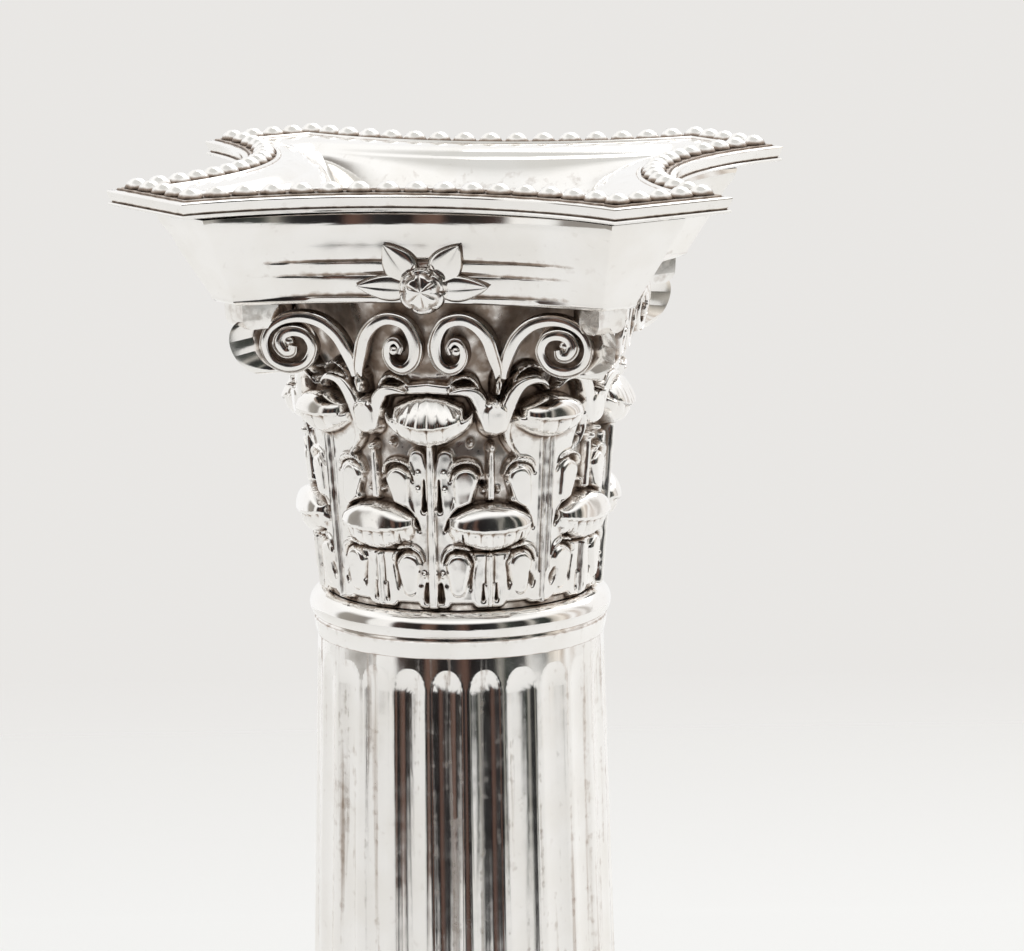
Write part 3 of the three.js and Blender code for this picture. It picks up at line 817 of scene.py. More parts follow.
def flute_tree(
    count: int, half: float, depth: float, end: float, foot: float, head: float, turn: float
) -> Graph:
    """Builds the tree that hollows round-ended flutes into a plain shaft.

    Args:
        count: How many flutes there are.
        half: Half a flute's width in metres.
        depth: A flute's depth in metres.
        end: Length of its rounded ends.
        foot: Height of the flutes' lower ends.
        head: Height of their upper ends.
        turn: Bearing of the first flute in radians.

    Returns:
        The tree.
    """
    graph = Graph(
        "shaft_flutes", count=float(count), half=half, depth=depth, end=end, foot=foot, head=head, turn=turn
    )
    sizes, maths = graph.inputs, graph.maths
    place = graph.add("ShaderNodeSeparateXYZ")
    graph.join(graph.add("GeometryNodeInputPosition").outputs[0], place.inputs[0])
    x, y, z = place.outputs
    radius = maths("SQRT", maths("ADD", maths("MULTIPLY", x, x), maths("MULTIPLY", y, y)))
    bearing = maths("SUBTRACT", maths("ARCTAN2", x, maths("MULTIPLY", y, -1.0)), sizes["turn"])
    step = maths("DIVIDE", 2 * math.pi, sizes["count"])
    wrap = graph.add("ShaderNodeMath", operation="WRAP")
    graph.join(bearing, wrap.inputs[0])
    graph.join(maths("MULTIPLY", step, 0.5), wrap.inputs[1])
    graph.join(maths("MULTIPLY", step, -0.5), wrap.inputs[2])
    across = maths("MULTIPLY", wrap.outputs[0], radius)
    over = maths("MAXIMUM", maths("SUBTRACT", z, maths("SUBTRACT", sizes["head"], sizes["end"])), 0.0)
    under = maths("MAXIMUM", maths("SUBTRACT", maths("ADD", sizes["foot"], sizes["end"]), z), 0.0)
    past = maths("MULTIPLY", maths("ADD", over, under), maths("DIVIDE", sizes["half"], sizes["end"]))
    away = maths("ADD", maths("MULTIPLY", across, across), maths("MULTIPLY", past, past))
    width2 = maths("MULTIPLY", sizes["half"], sizes["half"])
    depth2 = maths("MULTIPLY", sizes["depth"], sizes["depth"])
    bow = maths("DIVIDE", maths("ADD", width2, depth2), maths("MULTIPLY", sizes["depth"], 2.0))
    inside = maths("MAXIMUM", maths("SUBTRACT", maths("MULTIPLY", bow, bow), away), 0.0)
    hollow = maths("SUBTRACT", maths("SQRT", inside), maths("SUBTRACT", bow, sizes["depth"]))
    cut = maths("MAXIMUM", hollow, 0.0)
    skin = graph.add("GeometryNodeInputNamedAttribute", data_type="FLOAT")
    skin.inputs["Name"].default_value = "skin"
    share = maths("DIVIDE", maths("MULTIPLY", cut, skin.outputs["Attribute"]), radius)
    offset = graph.add("ShaderNodeCombineXYZ")
    graph.join(maths("MULTIPLY", maths("MULTIPLY", x, share), -1.0), offset.inputs["X"])
    graph.join(maths("MULTIPLY", maths("MULTIPLY", y, share), -1.0), offset.inputs["Y"])
    move = graph.add("GeometryNodeSetPosition")
    graph.join(sizes["Geometry"], move.inputs["Geometry"])
    graph.join(offset.outputs[0], move.inputs["Offset"])
    graph.close(move.outputs[0])
    return graph


# ---- Nozzle ----


@dataclass
class Nozzle:
    """The lift-out nozzle: a concave-sided drip pan with a bead border, and its candle socket."""

    rim: HornedPlan = HornedPlan(35.8, 11.6, 9.3)
    well: HornedPlan = HornedPlan(23.2, 1.4, 5.2)
    bead: float = 3.1
    bead_rise: float = 1.55
    bead_sunk: float = 0.35
    bead_pitch: float = 3.2
    rim_depth: float = 2.05
    spoon: float = 5.6
    ledge: float = 3.5
    sheet: float = 0.8
    edge: float = 0.9
    bore: float = 11.2
    collar: float = 2.0

    def __post_init__(self) -> None:
        """Reads the pan's levels from the frame."""
        low, high = reach("nozzle_pan")
        self.floor = low[2] + self.sheet
        self.flat = high[2]
        self.lip = self.flat - self.rim_depth
        self.foot = reach("nozzle_socket")[0][2]

    def pan(self) -> bpy.types.Object:
        """Raises the drip pan: rim mouldings, bead ledge, spoon border, well and floor.

        Returns:
            The pan.
        """
        rings, depths = [], []

        def ring(plan: HornedPlan, inset: float, height: float, depth: float = 0.0) -> None:
            rings.append(raised(plan.sides(inset), height))
            depths.append(depth)

        lip, flat, edge = self.lip, self.flat, self.edge
        for inset, rise, depth in (
            (0.6, 0.0, 0.3),
            (0.3, 0.02, 0.1),
            (0.12, 0.12, 0.0),
            (0.1, 0.28, 0.0),
            (0.22, 0.42, 0.1),
            (0.46, 0.47, 0.8),
            (0.5, 0.55, 0.8),
            (0.42, 0.6, 0.2),
            (0.32, 0.8, 0.0),
            (0.2, 1.1, 0.0),
            (0.1, 1.4, 0.0),
            (0.03, 1.64, 0.0),
            (0.06, 1.76, 0.0),
            (0.26, 1.86, 0.0),
            (0.66, 1.9, 0.1),
        ):
            ring(self.rim, inset, lip + rise, depth)
        ring(self.rim, edge - 0.14, flat - 0.16, 0.85)
        ring(self.rim, edge - 0.02, flat - 0.16, 0.85)
        ring(self.rim, edge + 0.1, flat + 0.03, 0.3)
        ring(self.rim, edge + 0.35, flat, 0.5)
        inner = edge + self.ledge
        # Painted shade: the two rings of the ledge under the bead line are darkened strongly, so the gaps
        # between the beads read dark where the beads shade each other.
        ring(self.rim, edge + self.ledge * 0.36, flat - 0.05, 0.9)
        ring(self.rim, edge + self.ledge * 0.62, flat - 0.05, 0.9)
        ring(self.rim, inner - 0.55, flat, 0.4)
        ring(self.rim, inner - 0.32, flat, 0.7)
        ring(self.rim, inner - 0.24, flat + 0.2, 0.1)
        ring(self.rim, inner - 0.05, flat + 0.26, 0.0)
        ring(self.rim, inner + 0.15, flat + 0.14, 0.0)
        ring(self.rim, inner + 0.25, flat - 0.03, 0.4)
        border = self.rim.sides(inner + 0.4)
        brim = self.well.sides(0)
        for share in np.linspace(0, 1, 17):
            drop = 0.3 * share + 0.85 * share**4
            rings.append(raised(border * (1 - share) + brim * share, flat + 0.02 - drop))
            depths.append(0.0)
        brim_level = flat + 0.02 - 1.15
        fall = brim_level - self.floor
        # The well darkens a little towards its floor.
        for share in np.linspace(0.08, 1, 14):
            level = brim_level - fall * (0.5 - 0.5 * math.cos(math.pi * share))
            ring(self.well.shrunk(self.spoon * share), 0, level, 0.3 * max(0.0, share - 0.25))
        ring(self.well.shrunk(self.spoon + 0.6), 0, self.floor, 0.06)
        outline = self.well.sides(0)
        bearing = outline / np.linalg.norm(outline, axis=1)[:, None]
        rings += [raised(bearing * self.bore, level) for level in (self.floor, self.floor - self.sheet)]
        depths += [0.1, 0.1]
        ring(self.well, 1.2, self.floor - self.sheet, 0.2)
        ring(self.well, -self.sheet, brim_level - self.sheet, 0.2)
        ring(self.rim, inner + 0.4, flat - self.sheet, 0.2)
        ring(self.rim, edge + self.sheet, flat - self.sheet, 0.3)
        ring(self.rim, self.sheet, lip + 0.05, 0.4)
        return swept(rings, depths).make("drip_pan", 30)

    def beads(self) -> bpy.types.Object:
        """Sets the pan's border of beads.

        Returns:
            The border.
        """
        inset = self.edge + self.ledge / 2
        along, across = 41, 6
        outline = self.rim.sides(inset, along, across)
        lap = along + across - 1
        breaks = [k for quarter in range(4) for k in (quarter * lap, quarter * lap + along - 1)]
        args = (outline, breaks, self.flat - self.bead_sunk, self.bead, self.bead_rise, self.bead_pitch)
        return bead_border(*args, "pan_beads")

    def socket(self) -> bpy.types.Object:
        """Turns the candle socket with its rolled collar and closed foot.

        Returns:
            The socket.
        """
        head = self.floor - self.sheet
        tube = self.bore + self.sheet
        rim = tube + self.collar
        profile = [(0.0, self.foot), (tube - 0.6, self.foot)]
        profile += bulge(tube - 0.6, self.foot + 0.6, 0.6, -80, 0, 4)
        profile += [(tube, head - 9.0), (tube, head - 1.2)]
        profile += bulge(rim - 0.4, head - 0.4, 0.4, -90, 90, 6)
        profile += [(self.bore, head), (self.bore, self.foot + 1.6)]
        profile += bulge(self.bore - 0.8, self.foot + 1.6, 0.8, 0, -80, 4)
        profile += [(0.0, self.foot + 0.8)]
        return lathe(profile, 96).make("candle_socket")

    def build(self) -> None:
        """Builds the nozzle's three pieces."""
        settle(self.pan(), Finish.SPUN, Body.NOZZLE, ["nozzle_pan"])
        settle(self.beads(), Finish.CHASED, Body.NOZZLE, ["nozzle_bead_wire"])
        settle(self.socket(), Finish.INSIDE, Body.NOZZLE, ["nozzle_socket"])


# ---- Abacus and its flowers ----


@dataclass
class Abacus:
    """The flared, concave-sided abacus with its mouldings and a flower on each side."""

    foot: HornedPlan = HornedPlan(24.2, 3.1, 4.0)
    head: HornedPlan = HornedPlan(31.0, 7.8, 9.0)
    wall: float = 1.2
    cup: float = 13.35
    flower_level: float = 8.1
    petal_rise: float = 0.62
    boss: float = 2.75
    raised: float = 0.4
    let_in: float = 0.2
    crisp_from: float = 0.7
    crisp_to: float = 6.0
    mouldings: tuple[tuple[float, float, float], ...] = (
        (0.0, 0.8, 0.5),
        (0.04, 0.4, 0.1),
        (0.2, 0.12, 0.0),
        (0.5, 0.0, 0.0),
        (0.8, 0.06, 0.05),
        (0.95, 0.22, 0.5),
        (1.1, 0.27, 0.5),
        (1.35, 0.2, 0.15),
        (1.65, 0.12, 0.0),
        (2.4, 0.14, 0.0),
        (3.15, 0.16, 0.0),
        (3.3, 0.2, 0.1),
        (3.42, 0.31, 0.5),
        (3.55, 0.31, 0.45),
        (3.75, 0.2, 0.1),
        (4.0, 0.13, 0.0),
        (4.75, 0.13, 0.0),
        (4.9, 0.16, 0.1),
        (5.02, 0.3, 0.65),
        (5.18, 0.32, 0.6),
        (5.36, 0.2, 0.1),
        (5.7, 0.19, 0.0),
        (6.9, 0.27, 0.0),
        (7.8, 0.34, 0.0),
        (8.5, 0.3, 0.0),
        (8.8, 0.25, 0.0),
        (9.15, 0.18, 0.0),
        (9.3, 0.17, 0.0),
        (10.45, 0.38, 0.0),
        (10.6, 0.45, 0.0),
        (10.7, 0.7, 0.1),
    )

    def __post_init__(self) -> None:
        """Reads the abacus's levels from the frame."""
        low, high = reach("abacus")
        self.bottom, self.top = low[2], high[2] + self.raised

    def stand(self, height: np.ndarray) -> np.ndarray:
        """Finds how far the middle of a side stands from the axis.

        Args:
            height: Heights to look at.

        Returns:
            The distance at each of them.
        """
        tall = self.top - self.bottom
        rise = np.clip(height - self.bottom, 0, tall)
        return self.foot.middle + (self.head.middle - self.foot.middle) * rise / tall - self.let_in

    def plan(self, height: float) -> HornedPlan:
        """The abacus's plan at a height."""
        return self.foot.toward(self.head, (height - self.bottom) / (self.top - self.bottom))

    def block(self) -> bpy.types.Object:
        """Raises the abacus's mouldings: bead, fascia, fillets, hollow fascia and upright band.

        Returns:
            The abacus.
        """
        rings, depths = [], []
        turn = np.abs(np.linspace(-1, 1, 45))
        sharp = np.tile(np.concatenate([1 - eased((turn - 0.5) / 0.42), np.zeros(6)]), 4)[:, None]
        for rise, inset, depth in self.mouldings:
            height = self.bottom + rise
            plan = self.plan(height)
            crisp = sharp if self.crisp_from < rise < self.crisp_to else np.ones_like(sharp)
            ring = plan.sides(inset, 45, 7) * crisp + plan.sides(0.15, 45, 7) * (1 - crisp)
            rings.append(raised(ring, height))
            depths.append(depth * crisp[:, 0])
        thin = self.wall + 0.6
        rings.append(raised(self.head.sides(self.wall, 45, 7), self.top))
        rings.append(raised(self.foot.sides(thin, 45, 7), self.bottom + self.wall))
        outline = self.foot.sides(0, 45, 7)
        hole = outline / np.linalg.norm(outline, axis=1)[:, None] * self.cup
        rings += [raised(hole, self.bottom + self.wall), raised(hole, self.bottom)]
        rings.append(raised(self.foot.sides(2.2, 45, 7), self.bottom))
        depths += [np.full(len(outline), depth) for depth in (0.3, 0.8, 0.8, 0.9, 0.9)]
        return swept(rings, depths).make("abacus_block", 32)

    def petal(self, blank: Blank, length: float, width: float, lean: float, root: Sequence[float]) -> None:
        """Beats one pointed, cupped petal with a crease down its middle.

        Args:
            blank: The flower's blank.
            length: From root to tip.
            width: Across its broadest place.
            lean: Angle of its middle line from upright, in degrees, towards the right.
            root: Where it starts, sideways and upwards from the boss.
        """
        along = np.linspace(0, 1, 21)[:, None]
        across = np.linspace(-1, 1, 17)[None, :]
        span = np.sin(math.pi * along**0.8) ** 0.72 * (1 - 0.12 * along) + 0.2 * (1 - along) ** 2
        half = width / 2 * span
        swell = np.sin(math.pi * np.clip(0.12 + 0.86 * along, 0, 1)) ** 0.6
        round_ = np.sqrt(np.clip(1 - 0.93 * across**4, 0, 1))
        fold = 0.06 * np.exp(-((across / 0.14) ** 2)) * np.sin(math.pi * along) ** 0.8
        lift = 0.12 + self.petal_rise * (round_ * (0.45 + 0.55 * swell)) - fold + 0.2 * along**4
        side = across * half
        rise = along * length + 0 * across
        c, s = math.cos(math.radians(lean)), math.sin(math.radians(lean))
        x = root[0] + rise * s + side * c
        z = root[1] + rise * c - side * s
        groove = 0.2 * np.exp(-((across / 0.06) ** 2)) * np.clip(0.9 - along, 0, 1) + 0 * along
        edge = 0.55 * (np.abs(across) > 0.97) + 0 * along
        self.seat(blank, x, z, lift, np.maximum(groove, edge))

    def seat(self, blank: Blank, x: np.ndarray, z: np.ndarray, lift: np.ndarray, depth: np.ndarray) -> None:
        """Stands a small relief on the abacus's hollow front, closed behind.

        Args:
            blank: The flower's blank.
            x: Sideways places.
            z: Heights above the flower's level.
            lift: How far each point stands off the abacus.
            depth: How oxidised each point is.
        """
        level = self.top + 1.1 - self.flower_level
        face = self.stand(z + level)
        bow = 0.0115
        front = np.stack([x, -(face + lift + bow * x**2), z + level], axis=-1)
        back = np.stack([x, -(face - 0.6 + bow * x**2), z + level], axis=-1)
        rows, columns = x.shape
        start = blank.lay(front, depth=depth)
        behind = blank.lay(back[:, ::-1], depth=0.45)
        ring = [start + j for j in range(columns)]
        ring += [start + i * columns + columns - 1 for i in range(1, rows)]
        ring += [start + (rows - 1) * columns + j for j in range(columns - 2, -1, -1)]
        ring += [start + i * columns for i in range(rows - 2, 0, -1)]

        def twin(index: int) -> int:
            row, column = divmod(index - start, columns)
            return behind + row * columns + columns - 1 - column

        for here, after in zip(ring, ring[1:] + ring[:1]):
            blank.faces.append([here, after, twin(after), twin(here)])

    def flower(self, side: Side) -> bpy.types.Object:
        """Makes the flower on one side: four petals round a segmented boss.

        Args:
            side: The side it sits on.

        Returns:
            The flower.
        """
        blank = Blank()
        boss_level = -2.0
        for hand in (-1, 1):
            self.petal(blank, 5.0, 3.9, hand * 35, (hand * 1.45, boss_level + 1.2))
            self.petal(blank, 5.9, 3.1, hand * 86, (hand * 1.7, boss_level + 0.1))
        turn = np.linspace(0, 2 * math.pi, 73)[None, :-1]
        out = np.linspace(0, 1, 20)[:, None]
        outer = np.abs(np.cos(3 * turn))
        lobes = 1 + 0.1 * outer * np.sin(math.pi * out)
        radius = self.boss * np.sin(out * math.pi / 2) * lobes
        crease = np.exp(-((outer / 0.2) ** 2)) * np.clip((out - 0.45) / 0.15, 0, 1) * (1 - out**6)
        inner = np.abs(np.sin(3 * turn + 0.4))
        seam = np.exp(-(((out - 0.5) / 0.06) ** 2)) * (0.5 + 0.5 * inner)
        star = np.exp(-((inner / 0.25) ** 2)) * np.clip((0.5 - out) / 0.1, 0, 1) * np.clip(out / 0.15, 0, 1)
        lift = 0.55 + 1.9 * np.cos(out * math.pi / 2) ** 0.75 - 0.35 * crease - 0.3 * seam - 0.2 * star
        lift = lift + 0.16 * radius * np.cos(turn)
        x, z = radius * np.sin(turn), radius * np.cos(turn) + boss_level
        level = self.top + 1.1 - self.flower_level
        face = float(self.stand(np.array(boss_level + level)))
        grid = np.stack([x, -(face + lift), z + level], axis=-1)
        dark = np.maximum(np.maximum(0.6 * crease, 0.5 * seam), 0.5 * star)
        dome = blank.lay(grid[1:], around=True, depth=dark[1:].reshape(-1))
        count = grid.shape[1]
        blank.fan(dome, count, (0.0, -(face + 2.46), boss_level + level))
        ring = grid[-1] * (1, 0, 1) + (0, -(face - 0.7), 0)
        base = blank.hold(ring, 1.0)
        last = dome + (grid.shape[0] - 2) * count
        for k in range(count):
            after = (k + 1) % count
            blank.faces.append([last + k, last + after, base + after, base + k])
        blank.cap(base, count)
        blank.turn(side.value)
        return blank.make(f"flower_{side.word}", 50)

    def build(self) -> None:
        """Builds the abacus and its four flowers."""
        settle(self.block(), Finish.SPUN, Body.STICK, ["abacus"])
        for side in Side:
            node = f"abacus_flower_{side.word}"
            settle(self.flower(side), Finish.CHASED, Body.STICK, [node])


# ---- Capital ----


@dataclass
class Relief:
    """A chased panel as heights over the plain bell, drawn stroke by stroke.

    Places are given in millimetres sideways from the middle of a face, along the leaves' own round,
    and in drops below the pan's rim. Only the half from the middle of a face to a corner is drawn.
    """

    half: float
    top: float
    bottom: float
    columns: int = 152
    rows: int = 292

    def __post_init__(self) -> None:
        """Lays out the grid of places and a bare ground."""
        self.side = np.linspace(0, self.half, self.columns)[None, :]
        self.drop = np.linspace(self.bottom, self.top, self.rows)[:, None]
        self.height = np.zeros((self.rows, self.columns))

    def within(self, path: Sequence[Sequence[float]], steps: int = 6) -> np.ndarray:
        """Measures how deep each place lies inside a stroke.

        Args:
            path: Triples of side, drop and half-width along the stroke.
            steps: Steps between two of them.

        Returns:
            The distance inside the stroke's edge, negative outside it.
        """
        line = flowing(path, steps) if len(path) > 2 else np.array(path, float)
        if len(line) == 1:
            line = np.vstack([line, line])
        inside = np.full(self.height.shape, -99.0)
        for (x0, z0, r0), (x1, z1, r1) in zip(line, line[1:]):
            dx, dz = x1 - x0, z1 - z0
            length = max(dx * dx + dz * dz, 1e-9)
            share = np.clip(((self.side - x0) * dx + (self.drop - z0) * dz) / length, 0, 1)
            gap = np.hypot(self.side - x0 - share * dx, self.drop - z0 - share * dz)
            inside = np.maximum(inside, r0 + (r1 - r0) * share - gap)
        return inside

    @staticmethod
    def pillow(inside: np.ndarray, edge: float) -> np.ndarray:
        """Rounds a shape's edge over a width, from 0 outside to 1 within."""
        share = np.clip(inside / edge, 0, 1)
        return np.sqrt(1 - (1 - share) ** 2)

    def rise(self, path: Sequence[Sequence[float]], top: np.ndarray | float, edge: float) -> None:
        """Raises a stroke with round edges.

        Args:
            path: The stroke.
            top: Height over the bell of its upper face.
            edge: Width of its rounded edge.
        """
        inside = self.within(path)
        lifted = top * self.pillow(inside, edge)
        self.height = np.where(inside > 0, np.maximum(self.height, lifted), self.height)

    def sink(self, path: Sequence[Sequence[float]], floor: np.ndarray | float, edge: float) -> None:
        """Punches a stroke down to a floor with round edges."""
        share = self.pillow(self.within(path), edge)
        self.height = np.minimum(self.height, self.height * (1 - share) + floor * share)

    def unevenness(self, size: float, seed: int) -> np.ndarray:
        """Soft random hills and hollows.

        Args:
            size: Width of one in millimetres.
            seed: The random order.

        Returns:
            Values from about -1 to 1 over the grid.
        """
        width, tall = self.half, self.top - self.bottom
        coarse = np.random.default_rng(seed).uniform(-1, 1, (int(tall / size) + 2, int(width / size) + 2))
        row = np.linspace(0, coarse.shape[0] - 1.001, self.rows)
        column = np.linspace(0, coarse.shape[1] - 1.001, self.columns)
        i, j = row.astype(int)[:, None], column.astype(int)[None, :]
        u, v = eased(row - row.astype(int))[:, None], eased(column - column.astype(int))[None, :]
        low = coarse[i, j] * (1 - v) + coarse[i, j + 1] * v
        high = coarse[i + 1, j] * (1 - v) + coarse[i + 1, j + 1] * v
        return low * (1 - u) + high * u

    def blurred(self, margin: int) -> np.ndarray:
        """The heights averaged over a square of neighbours, twice."""
        heights = np.pad(self.height, ((margin, margin), (margin, margin)), mode="reflect")
        for axis in (0, 1):
            for _ in range(2):
                total = np.cumsum(np.insert(heights, 0, 0.0, axis=axis), axis=axis)
                size = 2 * (margin // 2) + 1
                ahead = np.take(total, np.arange(size, total.shape[axis]), axis=axis)
                behind = np.take(total, np.arange(0, total.shape[axis] - size), axis=axis)
                pad = [(0, 0), (0, 0)]
                pad[axis] = (size // 2, size // 2)
                heights = np.pad((ahead - behind) / size, pad, mode="edge")
        return heights[margin:-margin, margin:-margin]


@dataclass
class Capital:
    """The capital: a bell chased with two tiers of leaves, helices and corner volutes."""

    round: float = 17.0
    bell_foot: float = 15.5
    bell_waist: float = 15.5
    bell_lip: float = 17.6
    wall: float = 0.9
    leaf: float = 6.68
    helix_eye: tuple[float, float] = (3.6, -16.95)
    volute_eye: tuple[float, float] = (16.1, -16.6)
    volute_size: float = 3.35
    lean: float = 0.13
    hammer: float = 0.04

    def __post_init__(self) -> None:
        """Reads the bell's levels from the frame and lays out the relief."""
        low, high = reach("bell_panel_front")
        self.bottom, self.top = low[2], high[2]
        self.rim = reach("nozzle_pan")[1][2] - 1.6
        self.corner = self.round * math.pi / 4
        self.relief = Relief(self.corner, self.top - self.rim, self.bottom - self.rim)
        share = (self.relief.drop - self.relief.bottom) / (self.relief.top - self.relief.bottom)
        profile = np.interp(self.relief.drop, (-48, -26, -20), (0.95, 2.75, 3.15))
        self.body = profile + 0 * self.relief.side
        self.ground = self.bell_foot + (self.bell_lip - self.bell_foot) * np.clip(2 * share - 1, 0, 1) ** 2

    def mirrored(self, path: Sequence[Sequence[float]]) -> list[tuple[float, float, float]]:
        """A stroke reflected about the middle of a lower leaf."""
        return [(2 * self.leaf - side, drop, half) for side, drop, half in path]

    def twice(
        self, stroke: Callable[..., None], path: Sequence[Sequence[float]], level: np.ndarray, edge: float
    ) -> None:
        """Makes a stroke on both sides of a lower leaf."""
        stroke(path, level, edge)
        stroke(self.mirrored(path), level, edge)

    def lower_leaves(self) -> None:
        """Chases the lower tier: skirt, leaf, lobes with curled rims, stem, balls and slots."""
        work, body = self.relief, self.body
        work.rise([(-5, -46.2, 1.35), (18, -46.2, 1.35)], body, 0.5)
        work.rise([(self.leaf, -41.0, 2.2), (self.leaf, -46.2, 2.5)], body + 0.05, 0.5)
        lobes = (
            ([(2.95, -42.85, 1.78), (2.9, -45.6, 1.2)], 0.42, 0.8),
            (
                [
                    (1.05, -42.4, 0.22),
                    (1.6, -41.1, 0.34),
                    (2.9, -40.55, 0.36),
                    (4.25, -41.0, 0.34),
                    (4.9, -42.3, 0.22),
                ],
                0.55,
                0.3,
            ),
        )
        for path, lift, edge in lobes:
            self.twice(work.rise, path, body + lift, edge)
        seam = [
            (1.25, -42.5, 0.07),
            (1.75, -41.55, 0.1),
            (2.9, -41.05, 0.11),
            (4.1, -41.5, 0.1),
            (4.75, -42.6, 0.07),
        ]
        gap = [(4.75, -42.7, 0.1), (4.5, -44.0, 0.13), (4.35, -45.6, 0.09)]
        for line in (seam, gap):
            self.twice(work.sink, line, body - 0.55, 0.1)
        work.rise([(1.1, -43.9, 0.45), (1.1, -44.0, 0.45)], body + 0.5, 0.45)
        work.rise([(self.leaf, -40.8, 0.38), (self.leaf, -47.6, 0.4)], body + 0.5, 0.3)
        for aside in (-0.52, 0.52):
            work.sink([(self.leaf + aside, -41.0, 0.05), (self.leaf + aside, -45.0, 0.08)], body - 0.4, 0.08)
        for aside in (-0.8, 0.8):
            slot = [(self.leaf + aside, -45.1, 0.1), (self.leaf + aside, -46.9, 0.18)]
            work.sink(slot, 0.1, 0.16)
        work.sink([(0.85, -45.1, 0.2), (0.92, -46.6, 0.32), (0.9, -47.2, 0.22)], 0.1, 0.2)
        work.sink([(11.5, -43.9, 0.1), (11.9, -44.9, 0.4), (12.0, -45.6, 0.15)], 0.5, 0.3)

    def upper_leaves(self) -> None:
        """Chases the upper tier's bodies: plates, lobes, stalks and slots."""
        work, body = self.relief, self.body
        path = [(0.6, -47.0, 1.6), (0.9, -40.0, 1.9), (1.3, -33.5, 1.6), (1.6, -30.0, 1.2)]
        work.rise(path, body - 0.05, 0.5)
        work.rise([(3.3, -38.5, 2.2), (3.5, -35.2, 1.5)], body + 0.1, 0.6)
        plate = [
            (12.6, -46.0, 2.0),
            (12.4, -38.0, 2.4),
            (12.2, -33.0, 2.4),
            (11.9, -29.5, 2.8),
            (11.4, -26.5, 3.2),
        ]
        work.rise(plate, body + 0.1, 0.7)
        work.rise([(10.4, -38.0, 2.2), (10.3, -35.4, 1.6)], body + 0.1, 0.6)
        path = [(10.0, -30.3, 0.3), (8.9, -29.0, 0.5), (8.3, -27.4, 0.6), (8.6, -25.9, 0.5)]
        work.rise(path, body + 0.7, 0.5)
        work.rise([(3.85, -32.6, 1.75), (3.55, -35.2, 1.3)], body + 0.45, 0.8)
        work.rise([(10.0, -32.6, 1.75), (10.5, -35.2, 1.4)], body + 0.45, 0.8)
        for path in (
            [
                (1.95, -32.2, 0.2),
                (2.5, -30.9, 0.34),
                (3.8, -30.35, 0.38),
                (5.15, -30.8, 0.34),
                (5.75, -32.1, 0.2),
            ],
            [
                (8.1, -32.2, 0.2),
                (8.7, -30.8, 0.34),
                (10.0, -30.3, 0.38),
                (11.3, -30.7, 0.32),
                (11.9, -31.6, 0.2),
            ],
        ):
            work.rise(path, body + 0.55, 0.32)
            line = [(side + 0.08 * (3.8 - side) * (side < 7), drop - 0.55, 0.09) for side, drop, _ in path]
            work.sink(line, body - 0.55, 0.1)
        balls = ((1.45, -31.8, 0.5), (1.5, -33.75, 0.55), (5.85, -33.9, 0.4), (7.6, -33.9, 0.4))
        for side, drop, size in balls:
            work.rise([(side, drop, size), (side, drop - 0.05, size)], body + 0.25, size)
        work.sink([(5.75, -33.2, 0.28), (5.8, -33.1, 0.28)], 0.3, 0.2)
        path = [(self.leaf, -29.2, 0.5), (self.leaf, -32.0, 0.55), (self.leaf, -35.9, 0.65)]
        work.rise(path, body + 0.35, 0.4)
        work.rise([(self.leaf, -28.8, 0.66), (self.leaf, -28.9, 0.66)], body + 0.9, 0.6)
        work.rise([(4.5, -28.2, 0.45), (4.4, -28.4, 0.45)], body + 0.35, 0.4)
        work.rise([(8.9, -28.4, 0.42), (8.9, -28.3, 0.42)], body + 0.35, 0.4)

    def ribs(self) -> None:
        """Chases the middle rib of each upper leaf and the slots beside it."""
        work, body = self.relief, self.body
        work.sink([(0.85, -32.6, 0.06), (0.92, -36.2, 0.25)], 0.5, 0.2)
        work.rise([(0, -47.7, 0.66), (0, -36, 0.56), (0, -28, 0.52)], body + 0.7, 0.32)
        work.rise([(self.corner, -47.7, 0.32), (self.corner, -25.5, 0.3)], body + 0.6, 0.28)
        work.rise([(self.corner - 0.8, -44.0, 0.22), (self.corner - 0.85, -26.5, 0.26)], body + 0.4, 0.24)
        work.sink([(self.corner - 0.45, -44.0, 0.05), (self.corner - 0.48, -27.0, 0.05)], body - 0.2, 0.07)

    def hood(
        self,
        centre: float,
        halves: tuple[float, float],
        levels: tuple[float, float, float],
        bend: tuple[float, float, float],
        lifts: tuple[float, float],
        ribs: tuple[float, float],
    ) -> None:
        """Curls a leaf's tip over: a domed crest, a sharp crease and a rolled lip under it.

        Args:
            centre: Side of its middle.
            halves: Half-widths of the crest and of the lip.
            levels: Drops of the crest's top, the crease and the lip's lower edge, at the middle.
            bend: How each of the three rises towards the sides, per square millimetre.
            lifts: How far the crest and the lip stand over the body.
            ribs: How many folds cross the crest and the lip.
        """
        work, body = self.relief, self.body
        side = work.side - centre
        top, crease, low = (level + curve * side**2 for level, curve in zip(levels, bend))
        turn = side / halves[0]
        up = np.clip((work.drop - crease) / (top - crease), 0, 1)
        fall = np.clip(1 - up**1.35, 0, 1) ** 0.8 if ribs[0] else np.sqrt(np.clip(1 - up**2, 0, 1))
        round_ = fall * np.clip(1 - np.abs(turn) ** 3.2, 0, 1) ** 0.5
        folds = 0.28 * np.abs(np.sin(turn * ribs[0] * (1 + 0.35 * up))) ** 0.4 - 0.28 if ribs[0] else 0.0
        over = (work.drop >= crease) & (work.drop < top) & (np.abs(turn) < 1)
        crest = np.where(over, body + 0.3 + (lifts[0] + folds) * round_, 0)
        turn = side / halves[1]
        up = np.clip((work.drop - low) / (crease - low), 0, 1)
        roll = np.sqrt(np.clip(1 - (1.2 * up - 0.93) ** 2, 0, 1))
        roll = roll * np.clip(1 - np.abs(turn) ** 3.2, 0, 1) ** 0.5
        folds = 0.5 * np.abs(np.sin(turn * ribs[1])) ** 0.5 - 0.5
        under = (work.drop < crease) & (work.drop > low) & (np.abs(turn) < 1)
        lip = np.where(under, body + 0.15 + (lifts[1] + folds) * roll, 0)
